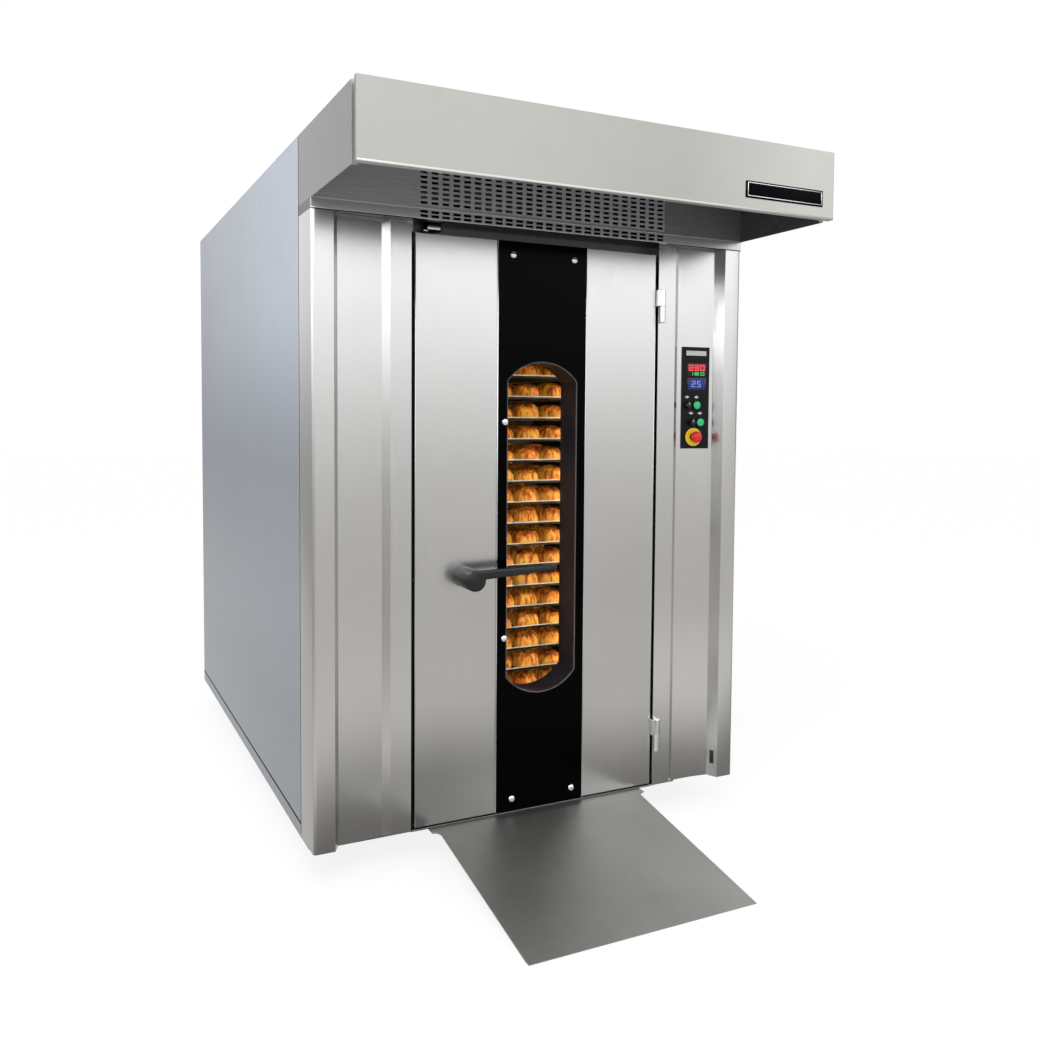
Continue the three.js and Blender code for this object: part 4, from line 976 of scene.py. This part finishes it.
def make_floor():
    """White to the camera but for the object's shadow, and a soft grey field to metal and glass."""
    mesh = bpy.data.meshes.new("floor")
    ends = (-FLOOR_REACH, FLOOR_REACH)
    corners = [(ends[0], ends[0], 0), (ends[1], ends[0], 0), (ends[1], ends[1], 0), (ends[0], ends[1], 0)]
    mesh.from_pydata(corners, [], [(0, 1, 2, 3)])
    floor = bpy.data.objects.new("floor", mesh)
    floor.location.z = -FLOOR_SINK
    bpy.context.scene.collection.objects.link(floor)
    look = Look("floor", FLOOR_COLOR, 0.9)
    tree = look.tree
    path = look.node("LightPath").outputs
    white = look.node("Emission", {"Color": (1, 1, 1, 1), "Strength": FLOOR_WHITE}).outputs["Emission"]
    where, _ = object_place(look)
    ahead = look.math("MULTIPLY", where["Y"], -1.0)
    leftness = look.math("MULTIPLY", where["X"], -1.0)
    aside = look.math("MAXIMUM", look.math("SUBTRACT", leftness, 0.75), 0.0)
    spread = look.math("ADD", ahead, aside)
    near = look.node("MapRange", {
        "Value": spread, "From Min": 1.15, "From Max": 2.45, "To Min": 0.20, "To Max": 0.79,
    }, interpolation_type="SMOOTHSTEP").outputs["Result"]
    near = look.math("SUBTRACT", near, look.remap(spread, 2.6, 5.0, 0.0, 0.14))
    behind = look.remap(ahead, 0.7, 1.1, 1.0, 0.0)
    near = look.math("MAXIMUM", near, look.product(behind, 0.62))
    far = look.remap(ahead, 12.0, FLOOR_REACH, 0.0, 0.10)
    near = look.product(near, look.remap(leftness, 2.0, 4.0, 1.0, 0.68))
    field = look.math("ADD", near, far)
    dull = look.node("Emission", {"Color": FLOOR_GLOSS, "Strength": field}).outputs["Emission"]
    lit = look.shader.outputs["BSDF"]
    seen = look.node("MixShader", {0: FLOOR_WHITE_SHARE, 1: lit, 2: white}).outputs[0]
    mirrored = look.node("MixShader", {0: path["Is Glossy Ray"], 1: lit, 2: dull}).outputs[0]
    direct = look.math("MAXIMUM", path["Is Camera Ray"], path["Is Transmission Ray"])
    whole = look.node("MixShader", {0: direct, 1: mirrored, 2: seen}).outputs[0]
    tree.links.new(whole, tree.nodes["Material Output"].inputs["Surface"])
    mesh.materials.append(look.material)


SKY_GLOSS = (0.97, 0.985, 1.0, 1.0)
SOFT_LIGHT = 0.75


def make_world():
    """White to the camera, a soft studio with a bright left and a darker horizon to the metal."""
    world = bpy.data.worlds.new("world")
    bpy.context.scene.world = world
    world.use_nodes = True
    tree = world.node_tree
    tree.nodes.clear()

    def node(kind, inputs=None, **settings):
        made = tree.nodes.new("ShaderNode" + kind)
        for key, value in settings.items():
            setattr(made, key, value)
        for key, value in (inputs or {}).items():
            if isinstance(value, bpy.types.NodeSocket):
                tree.links.new(value, made.inputs[key])
            else:
                made.inputs[key].default_value = value
        return made

    def remap(value, low, high, to_low, to_high):
        return node("MapRange", {
            "Value": value, "From Min": low, "From Max": high, "To Min": to_low, "To Max": to_high,
        }, interpolation_type="SMOOTHSTEP").outputs["Result"]

    def combine(operation, first, second):
        return node("Math", {0: first, 1: second}, operation=operation).outputs["Value"]

    where = node("TexCoord").outputs["Generated"]
    parts = node("SeparateXYZ", {"Vector": where}).outputs
    upward = remap(parts["Z"], -0.04, 0.15, 0.80, 1.76)
    backward = remap(parts["Y"], 0.0, 0.8, 1.0, 0.61)
    rightward = remap(parts["X"], 0.70, 0.93, 1.0, 0.3)
    leftward = remap(parts["X"], -0.55, -0.80, 0.0, 1.0)
    stripe = combine("MULTIPLY", leftward, remap(parts["Z"], 0.0, 0.10, -0.32, 0.7))
    total = combine("MULTIPLY", upward, combine("MULTIPLY", backward, rightward))
    total = combine("ADD", total, stripe)
    gloss = node("Background", {"Color": SKY_GLOSS, "Strength": total}).outputs[0]
    soft = node("Background", {"Color": (1, 1, 1, 1), "Strength": SOFT_LIGHT}).outputs[0]
    white = node("Background", {"Color": (1, 1, 1, 1), "Strength": 1.0}).outputs[0]
    path = node("LightPath").outputs
    metal = node("MixShader", {0: path["Is Glossy Ray"], 1: soft, 2: gloss}).outputs[0]
    seen = combine("MAXIMUM", path["Is Camera Ray"], path["Is Transmission Ray"])
    whole = node("MixShader", {0: seen, 1: metal, 2: white}).outputs[0]
    output = node("OutputWorld")
    tree.links.new(whole, output.inputs["Surface"])


KEY_PLACE = Vector((-3.0, -5.0, 6.5))
KEY_TARGET = Vector((0.0, 0.0, 1.0))
KEY_SIZE = 4.0
KEY_POWER = 220


def make_key_light():
    """A large soft lamp high in front on the left."""
    data = bpy.data.lights.new("key", "AREA")
    data.shape = "RECTANGLE"
    data.size = data.size_y = KEY_SIZE
    data.energy = KEY_POWER
    lamp = bpy.data.objects.new("key", data)
    bpy.context.scene.collection.objects.link(lamp)
    lamp.location = KEY_PLACE
    lamp.rotation_euler = (KEY_TARGET - KEY_PLACE).to_track_quat("-Z", "Y").to_euler()


make_floor()
make_world()
make_key_light()
bpy.context.scene.view_settings.view_transform = "Standard"
